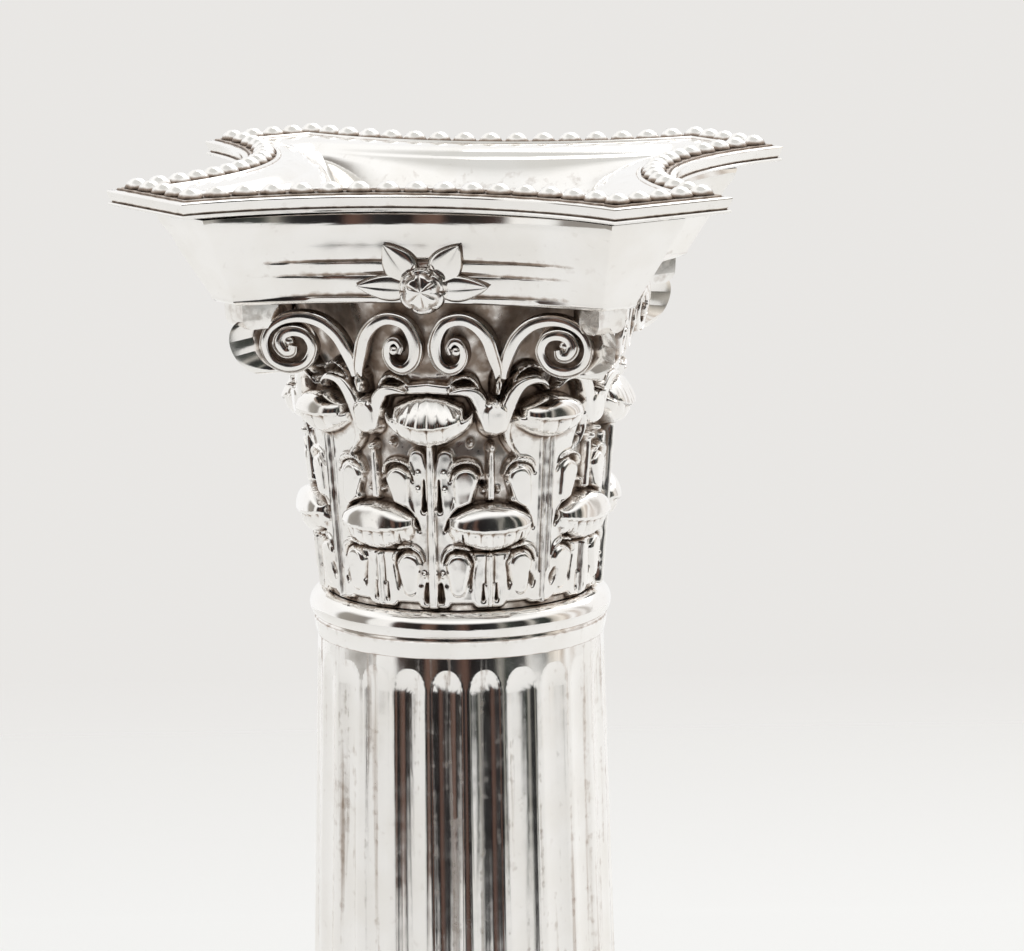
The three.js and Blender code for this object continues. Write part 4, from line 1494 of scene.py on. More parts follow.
        work.height = np.maximum(work.height, np.maximum(crest, lip))

    def lower_tips(self) -> None:
        """Curls over the tips of the lower leaves, glossy above and pleated at the lip."""
        work, body = self.relief, self.body
        outline = [
            (1.5, -38.6, 0.12),
            (2.1, -37.2, 0.2),
            (3.2, -36.1, 0.2),
            (4.9, -35.4, 0.2),
            (self.leaf, -35.2, 0.2),
        ]
        under = [(2.6, -40.9, 0.2), (4.2, -41.1, 0.16), (self.leaf, -41.2, 0.12)]
        for line in (outline, under):
            self.twice(work.sink, line, body - 0.9, 0.2)
        self.hood(self.leaf, (4.7, 4.75), (-35.5, -38.7, -40.9), (-0.075, 0.03, 0.085), (1.9, 1.6), (0, 11.5))
        for hand in (-1, 1):
            ear = [(self.leaf + hand * 4.1, -38.6, 0.55), (self.leaf + hand * 3.9, -39.6, 0.6)]
            work.rise(ear, body + 0.75, 0.55)
            path = [(self.leaf + hand * 3.25, -38.9, 0.06), (self.leaf + hand * 3.1, -40.2, 0.1)]
            work.sink(path, body, 0.12)

    def upper_tips(self) -> None:
        """Curls over the tips of the upper leaves: a ribbed shell on each face, a scroll on each corner."""
        work, body = self.relief, self.body
        path = [(0.0, -22.5, 0.2), (2.4, -22.9, 0.22), (4.0, -24.3, 0.24), (4.9, -25.8, 0.2)]
        work.sink(path, body - 0.8, 0.2)
        work.sink([(0.8, -28.9, 0.16), (2.8, -28.5, 0.22), (4.4, -27.4, 0.22)], body - 0.8, 0.2)
        self.hood(0.0, (3.75, 4.75), (-22.7, -26.3, -28.5), (-0.085, 0.085, 0.12), (2.5, 2.1), (10.5, 9.5))
        path = [(9.3, -25.2, 0.2), (10.2, -23.7, 0.22), (11.6, -22.9, 0.22), (13.4, -22.7, 0.2)]
        work.sink(path, body - 0.6, 0.2)
        corner = self.corner
        self.hood(corner, (3.6, 4.2), (-22.9, -25.7, -27.9), (-0.1, 0.04, 0.1), (2.7, 2.3), (0, 8.0))

    def sprays(self) -> None:
        """Chases the cup, ball and bud between the leaves and the two hooked leaves that grow from it."""
        work, body = self.relief, self.body
        work.rise([(0, -21.7, 0.95), (2.8, -21.9, 0.8)], body + 0.25, 0.4)
        work.sink([(1.1, -20.4, 0.34), (1.7, -20.3, 0.28)], body - 1.2, 0.25)
        for path, lift in (
            (
                [
                    (5.4, -22.0, 0.36),
                    (4.7, -20.7, 0.5),
                    (3.8, -20.3, 0.52),
                    (2.9, -20.6, 0.46),
                    (2.2, -21.2, 0.3),
                ],
                0.6,
            ),
            (
                [
                    (6.3, -26.3, 1.0),
                    (5.8, -24.6, 1.05),
                    (5.3, -23.2, 1.05),
                    (4.6, -22.2, 0.95),
                    (3.5, -21.95, 0.8),
                    (2.4, -22.1, 0.55),
                ],
                1.1,
            ),
            (
                [
                    (8.5, -21.7, 0.36),
                    (9.3, -20.0, 0.5),
                    (10.4, -19.3, 0.54),
                    (11.5, -19.5, 0.48),
                    (12.5, -20.3, 0.34),
                ],
                0.6,
            ),
            (
                [
                    (7.5, -26.3, 1.0),
                    (8.1, -24.4, 1.05),
                    (8.7, -22.7, 1.05),
                    (9.6, -21.4, 0.95),
                    (10.9, -20.95, 0.85),
                    (12.1, -21.4, 0.6),
                    (12.8, -22.3, 0.36),
                ],
                1.1,
            ),
        ):
            work.rise(path, body + lift, 0.5)
        for step in range(4):
            left, right = 2.9 + 0.72 * step, 9.5 + 0.78 * step
            work.sink([(left, -20.7, 0.06), (left - 0.1, -20.0, 0.08)], body, 0.1)
            work.sink([(right, -19.7, 0.06), (right + 0.05, -18.95, 0.08)], body, 0.1)
        work.rise([(6.9, -24.6, 1.9), (6.85, -26.0, 1.8)], body + 1.35, 1.1)
        work.rise([(6.85, -23.35, 0.75), (6.9, -23.4, 0.75)], body + 2.0, 0.7)
        path = [(6.0, -23.4, 0.1), (6.25, -22.7, 0.14), (6.9, -22.45, 0.14), (7.5, -22.8, 0.12)]
        work.sink(path, body, 0.14)
        work.rise([(7.1, -20.1, 0.42), (7.1, -21.1, 0.62), (7.05, -22.2, 0.5)], body + 1.7, 0.55)
        work.sink([(7.1, -20.6, 0.06), (7.08, -22.2, 0.06)], body + 0.8, 0.08)

    def draw(self) -> None:
        """Draws the whole relief and finds where it holds its oxide."""
        work = self.relief
        deep_zone = eased((work.drop + 30.0) / 2.0)
        work.height = np.maximum(self.body - 0.8 - 0.3 * deep_zone, 0.0)
        self.upper_leaves()
        self.lower_leaves()
        self.ribs()
        self.lower_tips()
        self.sprays()
        self.upper_tips()
        work.height = 0.45 * work.height + 0.55 * work.blurred(2)
        hammered = 0.65 * work.unevenness(1.8, 3) + 0.35 * work.unevenness(0.9, 4)
        work.height = np.maximum(work.height + self.hammer * hammered, 0.0)
        work.height *= eased((work.drop - work.bottom) / 0.7) * 0.75 + 0.25
        wide, near = work.blurred(14), work.blurred(5)
        hollow = np.clip((wide - work.height - 0.05) / 0.75, 0, 1)
        crevice = np.clip((near - work.height - 0.02) / 0.24, 0, 1)
        deep = np.clip((self.body - 0.35 - work.height) / 0.5, 0, 1)
        upper = eased((work.drop + 20.8) / 1.2) * (work.height < self.body + 0.2)
        self.oxide_and_shade = np.maximum(np.maximum(0.62 * hollow, 0.8 * crevice), deep * 0.3)
        patchy = 0.45 + 0.22 * work.unevenness(1.6, 7)
        self.oxide_and_shade = np.clip(np.maximum(self.oxide_and_shade, patchy * upper), 0, 1)

    def panel(self, side: Side) -> bpy.types.Object:
        """Strikes one quarter of the chased bell.

        Args:
            side: The face it covers.

        Returns:
            The panel, closed behind.
        """
        work = self.relief

        def whole(part: np.ndarray) -> np.ndarray:
            full = np.broadcast_to(part, work.height.shape)
            return np.hstack([full[:, :0:-1], full])

        angle = np.hstack([-work.side[:, :0:-1], work.side]) / self.round
        radius = whole(self.ground + work.height)
        height = whole(work.drop + self.rim)
        front = np.stack([radius * np.sin(angle), -radius * np.cos(angle), height], axis=-1)
        inner = self.bell_waist - self.wall
        ends = np.broadcast_to(np.array([[self.bottom], [self.top]]), (2, angle.shape[1]))
        back = np.stack([inner * np.sin(angle) + 0 * ends, -inner * np.cos(angle) + 0 * ends, ends], axis=-1)
        blank = Blank()
        start = blank.lay(turned_about(front, side.value), depth=whole(self.oxide_and_shade))
        rows, columns = radius.shape
        behind = blank.lay(turned_about(back, side.value)[:, ::-1], depth=1.0)
        for j in range(columns - 1):
            low = (behind + columns - 1 - j, behind + columns - 2 - j)
            blank.faces.append([start + j, low[0], low[1], start + j + 1])
            high = (start + (rows - 1) * columns + j, behind + 2 * columns - 1 - j)
            blank.faces.append([high[0], high[0] + 1, high[1] - 1, high[1]])
        left = [start + i * columns for i in range(rows)]
        blank.faces.append([*left, behind + 2 * columns - 1, behind + columns - 1])
        right = [start + i * columns + columns - 1 for i in range(rows)]
        blank.faces.append([*right[::-1], behind, behind + columns])
        return blank.make(f"bell_{side.word}", 55)

    def strap(
        self,
        blank: Blank,
        path: np.ndarray,
        stand: np.ndarray,
        width: np.ndarray,
        outer: int,
        thick: float = 2.2,
    ) -> None:
        """Carries a strap along a path on a side: a flat band with a groove and a thin outer fillet.

        Args:
            blank: The blank to add to.
            path: Side and drop along the strap's middle.
            stand: Distance of the strap's face from the axis, at each point.
            width: The strap's width at each point.
            outer: 1 where the fillet runs on the right of the path, -1 on its left.
            thick: Its thickness from front to back.
        """
        ahead = np.gradient(path, axis=0)
        ahead /= np.linalg.norm(ahead, axis=1)[:, None]
        across = np.stack([ahead[:, 1], -ahead[:, 0]], axis=-1)
        section = np.array(
            [
                (-0.5, -thick, 0.7),
                (-0.5, -0.7, 0.5),
                (-0.48, -0.25, 0.25),
                (-0.43, -0.03, 0.0),
                (-0.33, 0.04, 0.0),
                (-0.1, 0.07, 0.0),
                (0.15, 0.05, 0.0),
                (0.25, -0.02, 0.0),
                (0.29, -0.15, 0.4),
                (0.33, -0.15, 0.4),
                (0.36, -0.04, 0.1),
                (0.4, 0.02, 0.0),
                (0.46, -0.04, 0.0),
                (0.5, -0.25, 0.2),
                (0.52, -0.8, 0.5),
                (0.52, -thick, 0.7),
            ]
        )
        scale = np.clip(width / 1.4, 0.45, 1.0)[:, None]
        out = np.where(section[None, :, 1] > -1.0, section[None, :, 1] * scale, section[None, :, 1])
        sideways = outer * section[None, :, 0] * width[:, None]
        x = path[:, None, 0] + across[:, None, 0] * sideways
        drop = path[:, None, 1] + across[:, None, 1] * sideways
        lean = self.lean * (drop - self.helix_eye[1])
        grid = np.stack([x, -(stand[:, None] + out + lean), drop + self.rim], axis=-1)
        depth = np.broadcast_to(section[:, 2], x.shape).reshape(-1)
        start = blank.lay(grid, around=True, depth=depth)
        count = len(section)
        blank.cap(start, count)
        blank.cap(start + (len(path) - 1) * count, count)

    def helix(self, side: Side) -> bpy.types.Object:
        """Makes the pair of inner scrolls on one face.

        Args:
            side: The face.

        Returns:
            The pair.
        """
        blank = Blank()
        eye = self.helix_eye
        knots = np.array(
            [
                (4.55, -3.55, 0.9, 18.9),
                (4.5, -2.4, 1.25, 19.3),
                (4.15, -0.85, 1.5, 19.7),
                (3.6, 1.15, 1.55, 20.0),
                (2.6, 2.55, 1.5, 20.2),
                (1.3, 3.35, 1.45, 20.3),
                (0.0, 3.45, 1.45, 20.4),
                (-1.4, 2.85, 1.5, 20.4),
                (-2.25, 1.45, 1.6, 20.4),
                (-2.5, -0.05, 1.65, 20.4),
                (-2.1, -1.6, 1.5, 20.4),
                (-1.0, -2.45, 1.3, 20.4),
                (0.25, -2.05, 1.05, 20.4),
                (0.9, -0.8, 0.95, 20.5),
                (0.65, 0.6, 0.9, 20.6),
                (-0.2, 1.0, 0.8, 20.7),
                (-0.8, 0.3, 0.7, 20.75),
                (-0.6, -0.5, 0.55, 20.8),
            ]
        )
        line = flowing(knots, 6)
        for hand in (1, -1):
            path = np.stack([hand * (eye[0] + line[:, 0]), eye[1] + line[:, 1]], axis=-1)
            self.strap(blank, path, line[:, 3], line[:, 2], hand)
            self.knob(blank, (eye[0] * hand, eye[1] - 0.2), 0.55, 20.5, 2.4)
        blank.turn(side.value)
        return blank.make(f"helices_{side.word}", 40)

    def knob(self, blank: Blank, eye: Sequence[float], radius: float, stand: float, thick: float) -> None:
        """Adds the round button at a scroll's eye."""
        angle = np.linspace(0, 2 * math.pi, 25)[:-1]
        rings = []
        for share, out in ((1.0, -thick), (1.0, -0.25), (0.92, 0.02), (0.72, 0.2), (0.4, 0.32)):
            x = eye[0] + radius * share * np.cos(angle)
            z = eye[1] + radius * share * np.sin(angle) + self.rim
            tilt = self.lean * radius * share * np.sin(angle)
            rings.append(np.stack([x, -(stand + out + tilt), z], axis=-1))
        depth = np.repeat([1.0, 0.6, 0.1, 0.0, 0.0], len(angle))
        start = blank.lay(np.stack(rings), around=True, depth=depth)
        blank.cap(start, len(angle))
        blank.fan(start + 4 * len(angle), len(angle), (eye[0], -(stand + 0.36), eye[1] + self.rim))

    def volute(self, corner: Side) -> bpy.types.Object:
        """Makes the two scrolls that meet under one horn of the abacus.

        Args:
            corner: The face whose right-hand corner it is.

        Returns:
            The volute.
        """
        blank, half = Blank(), Blank()
        self.horn(blank)
        eye = self.volute_eye
        knots = np.array(
            [
                (-7.55, -3.9, 0.9, 18.8),
                (-7.35, -2.7, 1.25, 19.1),
                (-6.75, -1.0, 1.5, 19.4),
                (-5.7, 0.95, 1.55, 19.5),
                (-3.95, 2.5, 1.5, 19.6),
                (-1.75, 3.1, 1.4, 19.7),
                (0.4, 2.8, 1.25, 19.9),
                (2.1, 1.6, 1.1, 20.1),
                (2.7, -0.2, 1.1, 20.2),
                (1.95, -2.1, 1.2, 20.1),
                (0.0, -2.95, 1.3, 20.0),
                (-2.0, -2.35, 1.25, 19.9),
                (-2.9, -0.6, 1.2, 19.9),
                (-2.3, 0.95, 1.2, 20.0),
                (-0.95, 1.5, 1.3, 20.1),
                (0.4, 1.15, 1.45, 20.2),
                (0.95, 0.05, 1.55, 20.3),
                (0.35, -0.95, 1.4, 20.35),
                (-0.55, -0.95, 1.25, 20.4),
                (-0.75, -0.2, 1.0, 20.4),
            ]
        )
        line = flowing(knots, 6)
        path = np.stack([eye[0] + line[:, 0], eye[1] + line[:, 1]], axis=-1)
        self.strap(half, path, line[:, 3], line[:, 2], -1, 1.9)
        self.knob(half, (eye[0] - 0.1, eye[1] + 0.15), 0.7, 19.7, 1.4)
        self.mirror_pair(blank, half)
        self.bracket(blank)
        blank.turn(corner.value)
        return blank.make(f"volute_{corner.corner}", 40)

    @staticmethod
    def mirror_pair(blank: Blank, half: Blank) -> None:
        """Adds a half made for the front and its mirror image across the corner."""
        for flip in (False, True):
            first = blank.count
            for points, depth in zip(half.points, half.depths):
                part = np.stack([-points[:, 1], -points[:, 0], points[:, 2]], axis=-1) if flip else points
                blank.hold(part, depth)
            blank.faces += [[first + k for k in face] for face in half.faces]

    def horn(self, blank: Blank) -> None:
        """Lays the volute's body: a round floor behind each scroll, joined by a swelling corner edge."""
        steps = 72
        angle = np.linspace(0, 2 * math.pi, steps, endpoint=False)
        eye, radius = self.volute_eye, self.volute_size - 0.25
        stand = 19.25
        rings, depths = [], []
        for share, out, depth in (
            (0.5, 0.0, 0.7),
            (0.86, 0.0, 0.75),
            (0.93, 0.1, 0.4),
            (1.0, 0.15, 0.0),
            (1.05, 0.0, 0.0),
        ):
            x = eye[0] + radius * share * np.cos(angle)
            z = eye[1] + radius * share * np.sin(angle) + self.rim
            rings.append(np.stack([x, np.full(steps, -(stand + out)), z], axis=-1))
            depths.append(np.full(steps, depth))
        base = rings[-1]
        far = 28.0 + 3.3 * np.cos(angle) + 1.3 * np.sin(angle)
        ridge_drop = eye[1] - 0.5 + 3.3 * np.sin(angle)
        ridge = np.stack([far / math.sqrt(2), -far / math.sqrt(2), ridge_drop + self.rim], -1)
        for share in (0.2, 0.4, 0.6, 0.8, 1.0):
            ease_ = math.sin(share * math.pi / 2)
            rings.append(base * (1 - ease_) + ridge * ease_)
            depths.append(np.zeros(steps))
        front = np.stack(rings)
        flipped = np.stack([-front[..., 1], -front[..., 0], front[..., 2]], axis=-1)[-2::-1]
        grid = np.concatenate([front, flipped])
        shade = np.concatenate([np.stack(depths), np.stack(depths)[-2::-1]])
        start = blank.lay(grid, around=True, depth=shade.reshape(-1))
        middle = (eye[0], -stand, eye[1] + self.rim)
        blank.fan(start, steps, middle, 0.7)
        blank.fan(start + (len(grid) - 1) * steps, steps, (-middle[1], -middle[0], middle[2]), 0.7)

    def bracket(self, blank: Blank) -> None:
        """Adds the small plain block between the volute and the horn of the abacus."""
        near, far = 26.0, 30.9
        high = self.top - self.rim + 0.1
        rings = []
        for drop, shrink, half in ((0.0, 0.0, 1.9), (-1.9, 0.1, 1.85), (-2.6, 0.5, 1.8), (-3.1, 1.3, 1.6)):
            corners = [(near, -half), (far - shrink, -half), (far - shrink, half), (near, half)]
            level = high + drop + self.rim
            rings.append([((d - w) / math.sqrt(2), -(d + w) / math.sqrt(2), level) for d, w in corners])
        start = blank.lay(np.array(rings), around=True, depth=0.12)
        blank.cap(start, 4)
        blank.cap(start + 12, 4)

    def cup(self) -> bpy.types.Object:
        """Turns the cup that holds the nozzle's socket inside the bell.

        Returns:
            The cup.
        """
        low, high = reach("candle_cup")
        outer = high[0]
        bore, hole = outer - self.wall, 3.15
        profile = [(hole, low[2]), (outer, low[2]), (outer, high[2] - 0.3)]
        profile += bulge(outer - 0.45, high[2] - 0.45, 0.45, 0, 180, 8)
        profile += [(bore, low[2] + 1.6)]
        profile += bulge(bore - 0.7, low[2] + 1.6, 0.7, 0, -85, 4)
        profile += [(hole, low[2] + 0.9)]
        return lathe(profile, 96).make("inner_cup")

    def build(self) -> None:
        """Builds the capital's panels, scrolls and cup."""
        self.draw()
        for side in Side:
            settle(self.panel(side), Finish.CHASED, Body.STICK, [f"bell_panel_{side.word}"])
        for side in Side:
            settle(self.helix(side), Finish.CHASED, Body.STICK, [f"helix_pair_{side.word}"])
            node = f"corner_volute_{side.corner}"
            settle(self.volute(side), Finish.CHASED, Body.STICK, [node])
        settle(self.cup(), Finish.INSIDE, Body.STICK, ["candle_cup"])


# ---- Column ----


@dataclass
class Column:
    """The fluted shaft, the ring at its neck and its turned base."""

    foot_radius: float = 20.4
    neck_radius: float = 17.0
    swell: float = 0.45
    flutes: int = 24
    flute_half: float = 1.84
    flute_depth: float = 0.38
    flute_end: float = 3.0
    flute_turn: float = 4.75
    stop: float = 1.35
    wall: float = 0.9

    def __post_init__(self) -> None:
        """Reads the column's levels from the frame."""
        low, high = reach("column_shaft")
        self.foot, self.head = low[2], high[2]

    def radius(self, height: float) -> float:
        """The shaft's radius over its arrises at a height."""
        share = (height - self.foot) / (self.head - self.foot)
        taper = self.foot_radius + (self.neck_radius - self.foot_radius) * share
        return taper + self.swell * math.sin(math.pi * share)

    def shaft(self) -> bpy.types.Object:
        """Turns the plain shaft and hollows its flutes.

        Returns:
            The fluted shaft.
        """
        per_flute, end_rows, body_rows = 18, 22, 34
        end = self.stop + self.flute_end
        heights = np.concatenate(
            [
                [self.foot, self.foot + self.stop - 0.1],
                np.linspace(self.foot + self.stop, self.foot + end, end_rows),
                np.linspace(self.foot + end, self.head - end, body_rows)[1:-1],
                np.linspace(self.head - end, self.head - self.stop, end_rows),
                [self.head - self.stop + 0.1, self.head],
            ]
        )
        pitch = 2 * math.pi / self.flutes
        local = np.linspace(-0.5, 0.5, per_flute, endpoint=False)
        first = math.radians(self.flute_turn)
        angle = np.concatenate([first + pitch * (k + local) for k in range(self.flutes)])
        outer = np.array([self.radius(h) for h in heights])
        inner = np.array([self.radius(self.head), self.radius(self.foot)]) - 1.0 - self.wall
        radius = np.concatenate([outer, inner])[:, None]
        level = np.concatenate([heights, [self.head, self.foot]])[:, None]
        grid = np.stack([radius * np.sin(angle), -radius * np.cos(angle), level + 0 * angle], axis=-1)
        blank = Blank()
        blank.lay(grid, around=True, closed=True)
        plain = blank.make("shaft_blank")
        skin = plain.data.attributes.new("skin", "FLOAT", "POINT")
        marks = np.zeros(len(plain.data.vertices), np.float32)
        spots = np.array([v.co for v in plain.data.vertices]) / MM
        marks[np.hypot(spots[:, 0], spots[:, 1]) > self.neck_radius - 0.5] = 1.0
        skin.data.foreach_set("value", marks)
        sizes = (self.flute_half * MM, self.flute_depth * MM, self.flute_end * MM)
        ends = ((self.foot + self.stop) * MM, (self.head - self.stop) * MM)
        graph = flute_tree(self.flutes, *sizes, *ends, math.radians(self.flute_turn))
        return graph.run(plain, "fluted_shaft", Finish.TURNED, 24)

    def ring(self) -> bpy.types.Object:
        """Turns the ring at the neck: a flaring band under a round.

        Returns:
            The ring.
        """
        low, high = reach("neck_ring")
        outer, foot, head = high[0], low[2], high[2]
        size = 1.75
        middle = head - size - 0.05
        centre = outer - size
        neck = self.neck_radius
        bore = neck - 1.0 - self.wall
        profile = [(bore, foot), (neck + 0.02, foot), (neck + 0.1, foot + 0.12), (neck + 0.16, foot + 0.4)]
        profile += [(neck + 0.24, foot + 0.8), (neck + 0.34, foot + 1.2), (neck + 0.42, middle - 1.75)]
        profile += [(neck + 0.34, middle - 1.62)]
        depths = [0.5, 0.5, 0.1, 0.0, 0.0, 0.0, 0.1, 0.4]
        rounds = bulge(centre, middle, size, -55, 112, 22)
        profile += rounds
        depths += [0.0] * (len(rounds) - 2) + [0.3, 0.7]
        profile += [(3.3, head - 0.05), (3.3, head - self.wall), (bore, head - self.wall)]
        depths += [0.8, 0.8, 0.8]
        return lathe(profile, 192, depths).make("neck_moulding", 30)

    def base(self) -> bpy.types.Object:
        """Turns the base: lower round, hollow, upper round and the flare into the shaft.

        Returns:
            The base.
        """
        low, high = reach("column_base")
        bottom, top, wide = low[2], high[2], high[0]
        lower, hollow, upper = 7.6, 5.0, 5.0
        narrow = self.foot_radius + 3.4
        bore = self.foot_radius - self.wall
        profile = [(bore, bottom)]
        profile += bulge(wide - lower / 2, bottom + lower / 2, lower / 2, -88, 88, 20)
        level = bottom + lower
        profile += [(narrow + 0.4, level + 0.02), (narrow + 0.4, level + 0.6)]
        dip = np.linspace(0, 1, 11)[1:-1]
        profile += [
            (narrow - 0.2 - 2.3 * math.sin(math.pi * d) ** 0.8, level + 0.6 + (hollow - 1.2) * d) for d in dip
        ]
        level += hollow
        profile += [(narrow - 0.8, level - 0.6), (narrow - 0.8, level - 0.02)]
        profile += bulge(narrow - upper / 2, level + upper / 2, upper / 2, -86, 88, 16)
        level += upper
        profile += [(self.foot_radius + 1.3, level + 0.02), (self.foot_radius + 1.3, level + 0.7)]
        level += 0.9
        rise = np.linspace(0, 1, 8)
        profile += [
            (self.foot_radius + 0.05 + (1 - r) ** 2.4, level + (top - level) * r) for r in rise
        ]
        profile += [(bore, top)]
        return lathe(profile, 192).make("base_mouldings", 30)

    def build(self) -> None:
        """Builds the shaft, its ring and its base."""
        settle(self.shaft(), Finish.TURNED, Body.STICK, ["column_shaft"])
        settle(self.ring(), Finish.SPUN, Body.STICK, ["neck_ring"])
        settle(self.base(), Finish.SPUN, Body.STICK, ["column_base"])


# ---- Foot ----


@dataclass
class Foot:
    """The square foot with its sweep, step and plinth, and the two bead borders."""

    square: SquarePlan = SquarePlan()
    sheet: float = 0.9
    fillet: float = 1.2
    ledge: float = 3.6
    step: float = 43.6
    die: float = 31.0
    foot_bead: float = 2.8
    step_bead: float = 2.6
    bead_gap: float = 1.12

    def __post_init__(self) -> None:
        """Reads the foot's levels and widths from the frame."""
        low, high = reach("foot_shell")
        self.bottom, self.top, self.half = low[2], high[2], high[0]
        self.band = reach("foot_bead_wire")[0][2]
        self.shelf = reach("step_bead_wire")[0][2]
        self.plinth = reach("plinth_shell")

    def carried(self, profile: Sequence[tuple[float, float]], name: str) -> bpy.types.Object:
        """Carries a closed profile round a square.

        Args:
            profile: Pairs of half-width and height.
            name: The piece's name.

        Returns:
            The piece.
        """
        rings = [raised(self.square.sides(half), height) for half, height in profile]
        return swept(rings).make(name, 30)

    def sweep(self, wall: float) -> list[tuple[float, float]]:
        """The hollow sweep from the foot's ledge up to the step."""
        outer = self.half - self.fillet / 2 - self.ledge - self.fillet
        low, high = self.band + self.fillet, self.shelf - self.fillet
        angles = np.linspace(0, math.pi / 2, 25)
        bottom = low - wall
        return [
            (outer - wall - (outer - self.step) * math.sin(a), bottom + (high - bottom) * (1 - math.cos(a)))
            for a in angles
        ]

    def shell(self) -> bpy.types.Object:
        """Raises the foot: edge, bead ledge, sweep, step and the round above it.

        Returns:
            The foot.
        """
        half, band, fillet = self.half, self.band, self.fillet
        outer = half - fillet / 2 - self.ledge - fillet
        inner = self.step - self.ledge - fillet / 2
        top_half = self.die + 3.6
        profile = [(half - 0.25, self.bottom), (half, self.bottom + 0.25), (half, band - 0.6)]
        profile += bulge(half - 0.6, band - 0.6, 0.6, 15, 90, 5)
        profile += [(outer + fillet + 0.1, band), (outer + fillet, band + 0.1)]
        profile += [(outer + fillet, band + fillet - 0.15), (outer + fillet - 0.15, band + fillet)]
        profile += self.sweep(0)
        profile += [(self.step, self.shelf - 0.15), (self.step - 0.15, self.shelf)]
        profile += [(inner + 0.1, self.shelf), (inner, self.shelf + 0.1), (inner, self.shelf + fillet)]
        rise = self.top - self.shelf - fillet
        turns = np.linspace(0, math.pi / 2, 13)[1:]
        level = self.shelf + fillet
        profile += [(top_half + (inner - top_half) * math.cos(a), level + rise * math.sin(a)) for a in turns]
        profile += [(self.die, self.top), (self.die, self.top - self.sheet)]
        profile += [(top_half - self.sheet, self.top - self.sheet)]
        profile += [(edge - self.sheet, self.shelf - self.sheet) for edge in (inner, self.step)]
        profile += self.sweep(self.sheet)[::-1]
        profile += [(half - self.sheet, band - self.sheet), (half - self.sheet, self.bottom)]
        return self.carried(profile, "foot_mouldings")

    def plinth_block(self) -> bpy.types.Object:
        """Raises the plinth: foot flare, upright block, and cap with its mouldings.

        Returns:
            The plinth.
        """
        low, high = self.plinth
        bottom, top, wide = low[2], high[2], high[0]
        die, fillet = self.die, self.fillet
        cap = top - 2 * fillet
        profile = [(die + 2.3, bottom), (die + 2.3, bottom + 0.5)]
        curve = np.linspace(0, math.pi / 2, 9)[1:]
        profile += [(die + 2.2 * (1 - math.sin(a)), bottom + 0.6 + 1.9 * (1 - math.cos(a))) for a in curve]
        profile += [(die, cap - 2.0)]
        profile += [(die + 2.3 * (1 - math.cos(a)), cap - 2.0 + 1.6 * math.sin(a)) for a in curve]
        profile += [(die + 2.3, cap - 0.1), (wide - 0.4, cap)]
        profile += bulge(wide - 0.5, cap + 0.5, 0.5, -60, 0, 4)
        profile += [(wide, top - 0.5)]
        profile += bulge(wide - 0.5, top - 0.5, 0.5, 20, 90, 4)
        bore = 17.0
        profile += [(bore, top), (bore, top - self.sheet)]
        profile += [(die - self.sheet, top - self.sheet), (die - self.sheet, bottom)]
        return self.carried(profile, "plinth_mouldings")

    def border(self, node: str, level: float, width: float, name: str) -> bpy.types.Object:
        """Sets one square border of beads on its ledge.

        Args:
            node: The node that marks the border.
            level: Height of the ledge.
            width: A bead's width.
            name: The border's name.

        Returns:
            The border.
        """
        along = 9
        half = reach(node)[1][0] - width / 2
        outline = SquarePlan(0.0).sides(half, along)
        breaks = [quarter * along for quarter in range(4)]
        height = width * 0.62
        return bead_border(outline, breaks, level + 0.12, width, height, width * self.bead_gap, name)

    def build(self) -> None:
        """Builds the foot's four pieces."""
        settle(self.shell(), Finish.SPUN, Body.STICK, ["foot_shell"])
        settle(self.plinth_block(), Finish.SPUN, Body.STICK, ["plinth_shell"])
        wires = (
            ("foot_bead_wire", self.band, self.foot_bead),
            ("step_bead_wire", self.shelf, self.step_bead),
        )
        for node, level, width in wires:
            beads = self.border(node, level, width, node.replace("wire", "border"))
            settle(beads, Finish.CHASED, Body.STICK, [node])


@dataclass
class Underside:
    """The frame's own inner and lower pieces, which keep their shapes and get their finishes."""

    finishes: dict[str, Finish] = field(
        default_factory=lambda: {
            "baize_pad": Finish.BAIZE,
            "base_board": Finish.BOARD,
            "foot_loading": Finish.PITCH,
            "shaft_loading": Finish.PITCH,
            "tie_rod": Finish.STEEL,
            "rod_washer": Finish.STEEL,
            "rod_foot_nut": Finish.STEEL,
            "rod_head_nut": Finish.STEEL,
        }
    )

    def build(self) -> None:
        """Dresses each of them."""
        for node, finish in self.finishes.items():
            finish.on(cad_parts[node])
            LOG.info("%s: kept from the frame, in %s", node, finish.value.name)


# ---- Studio ----


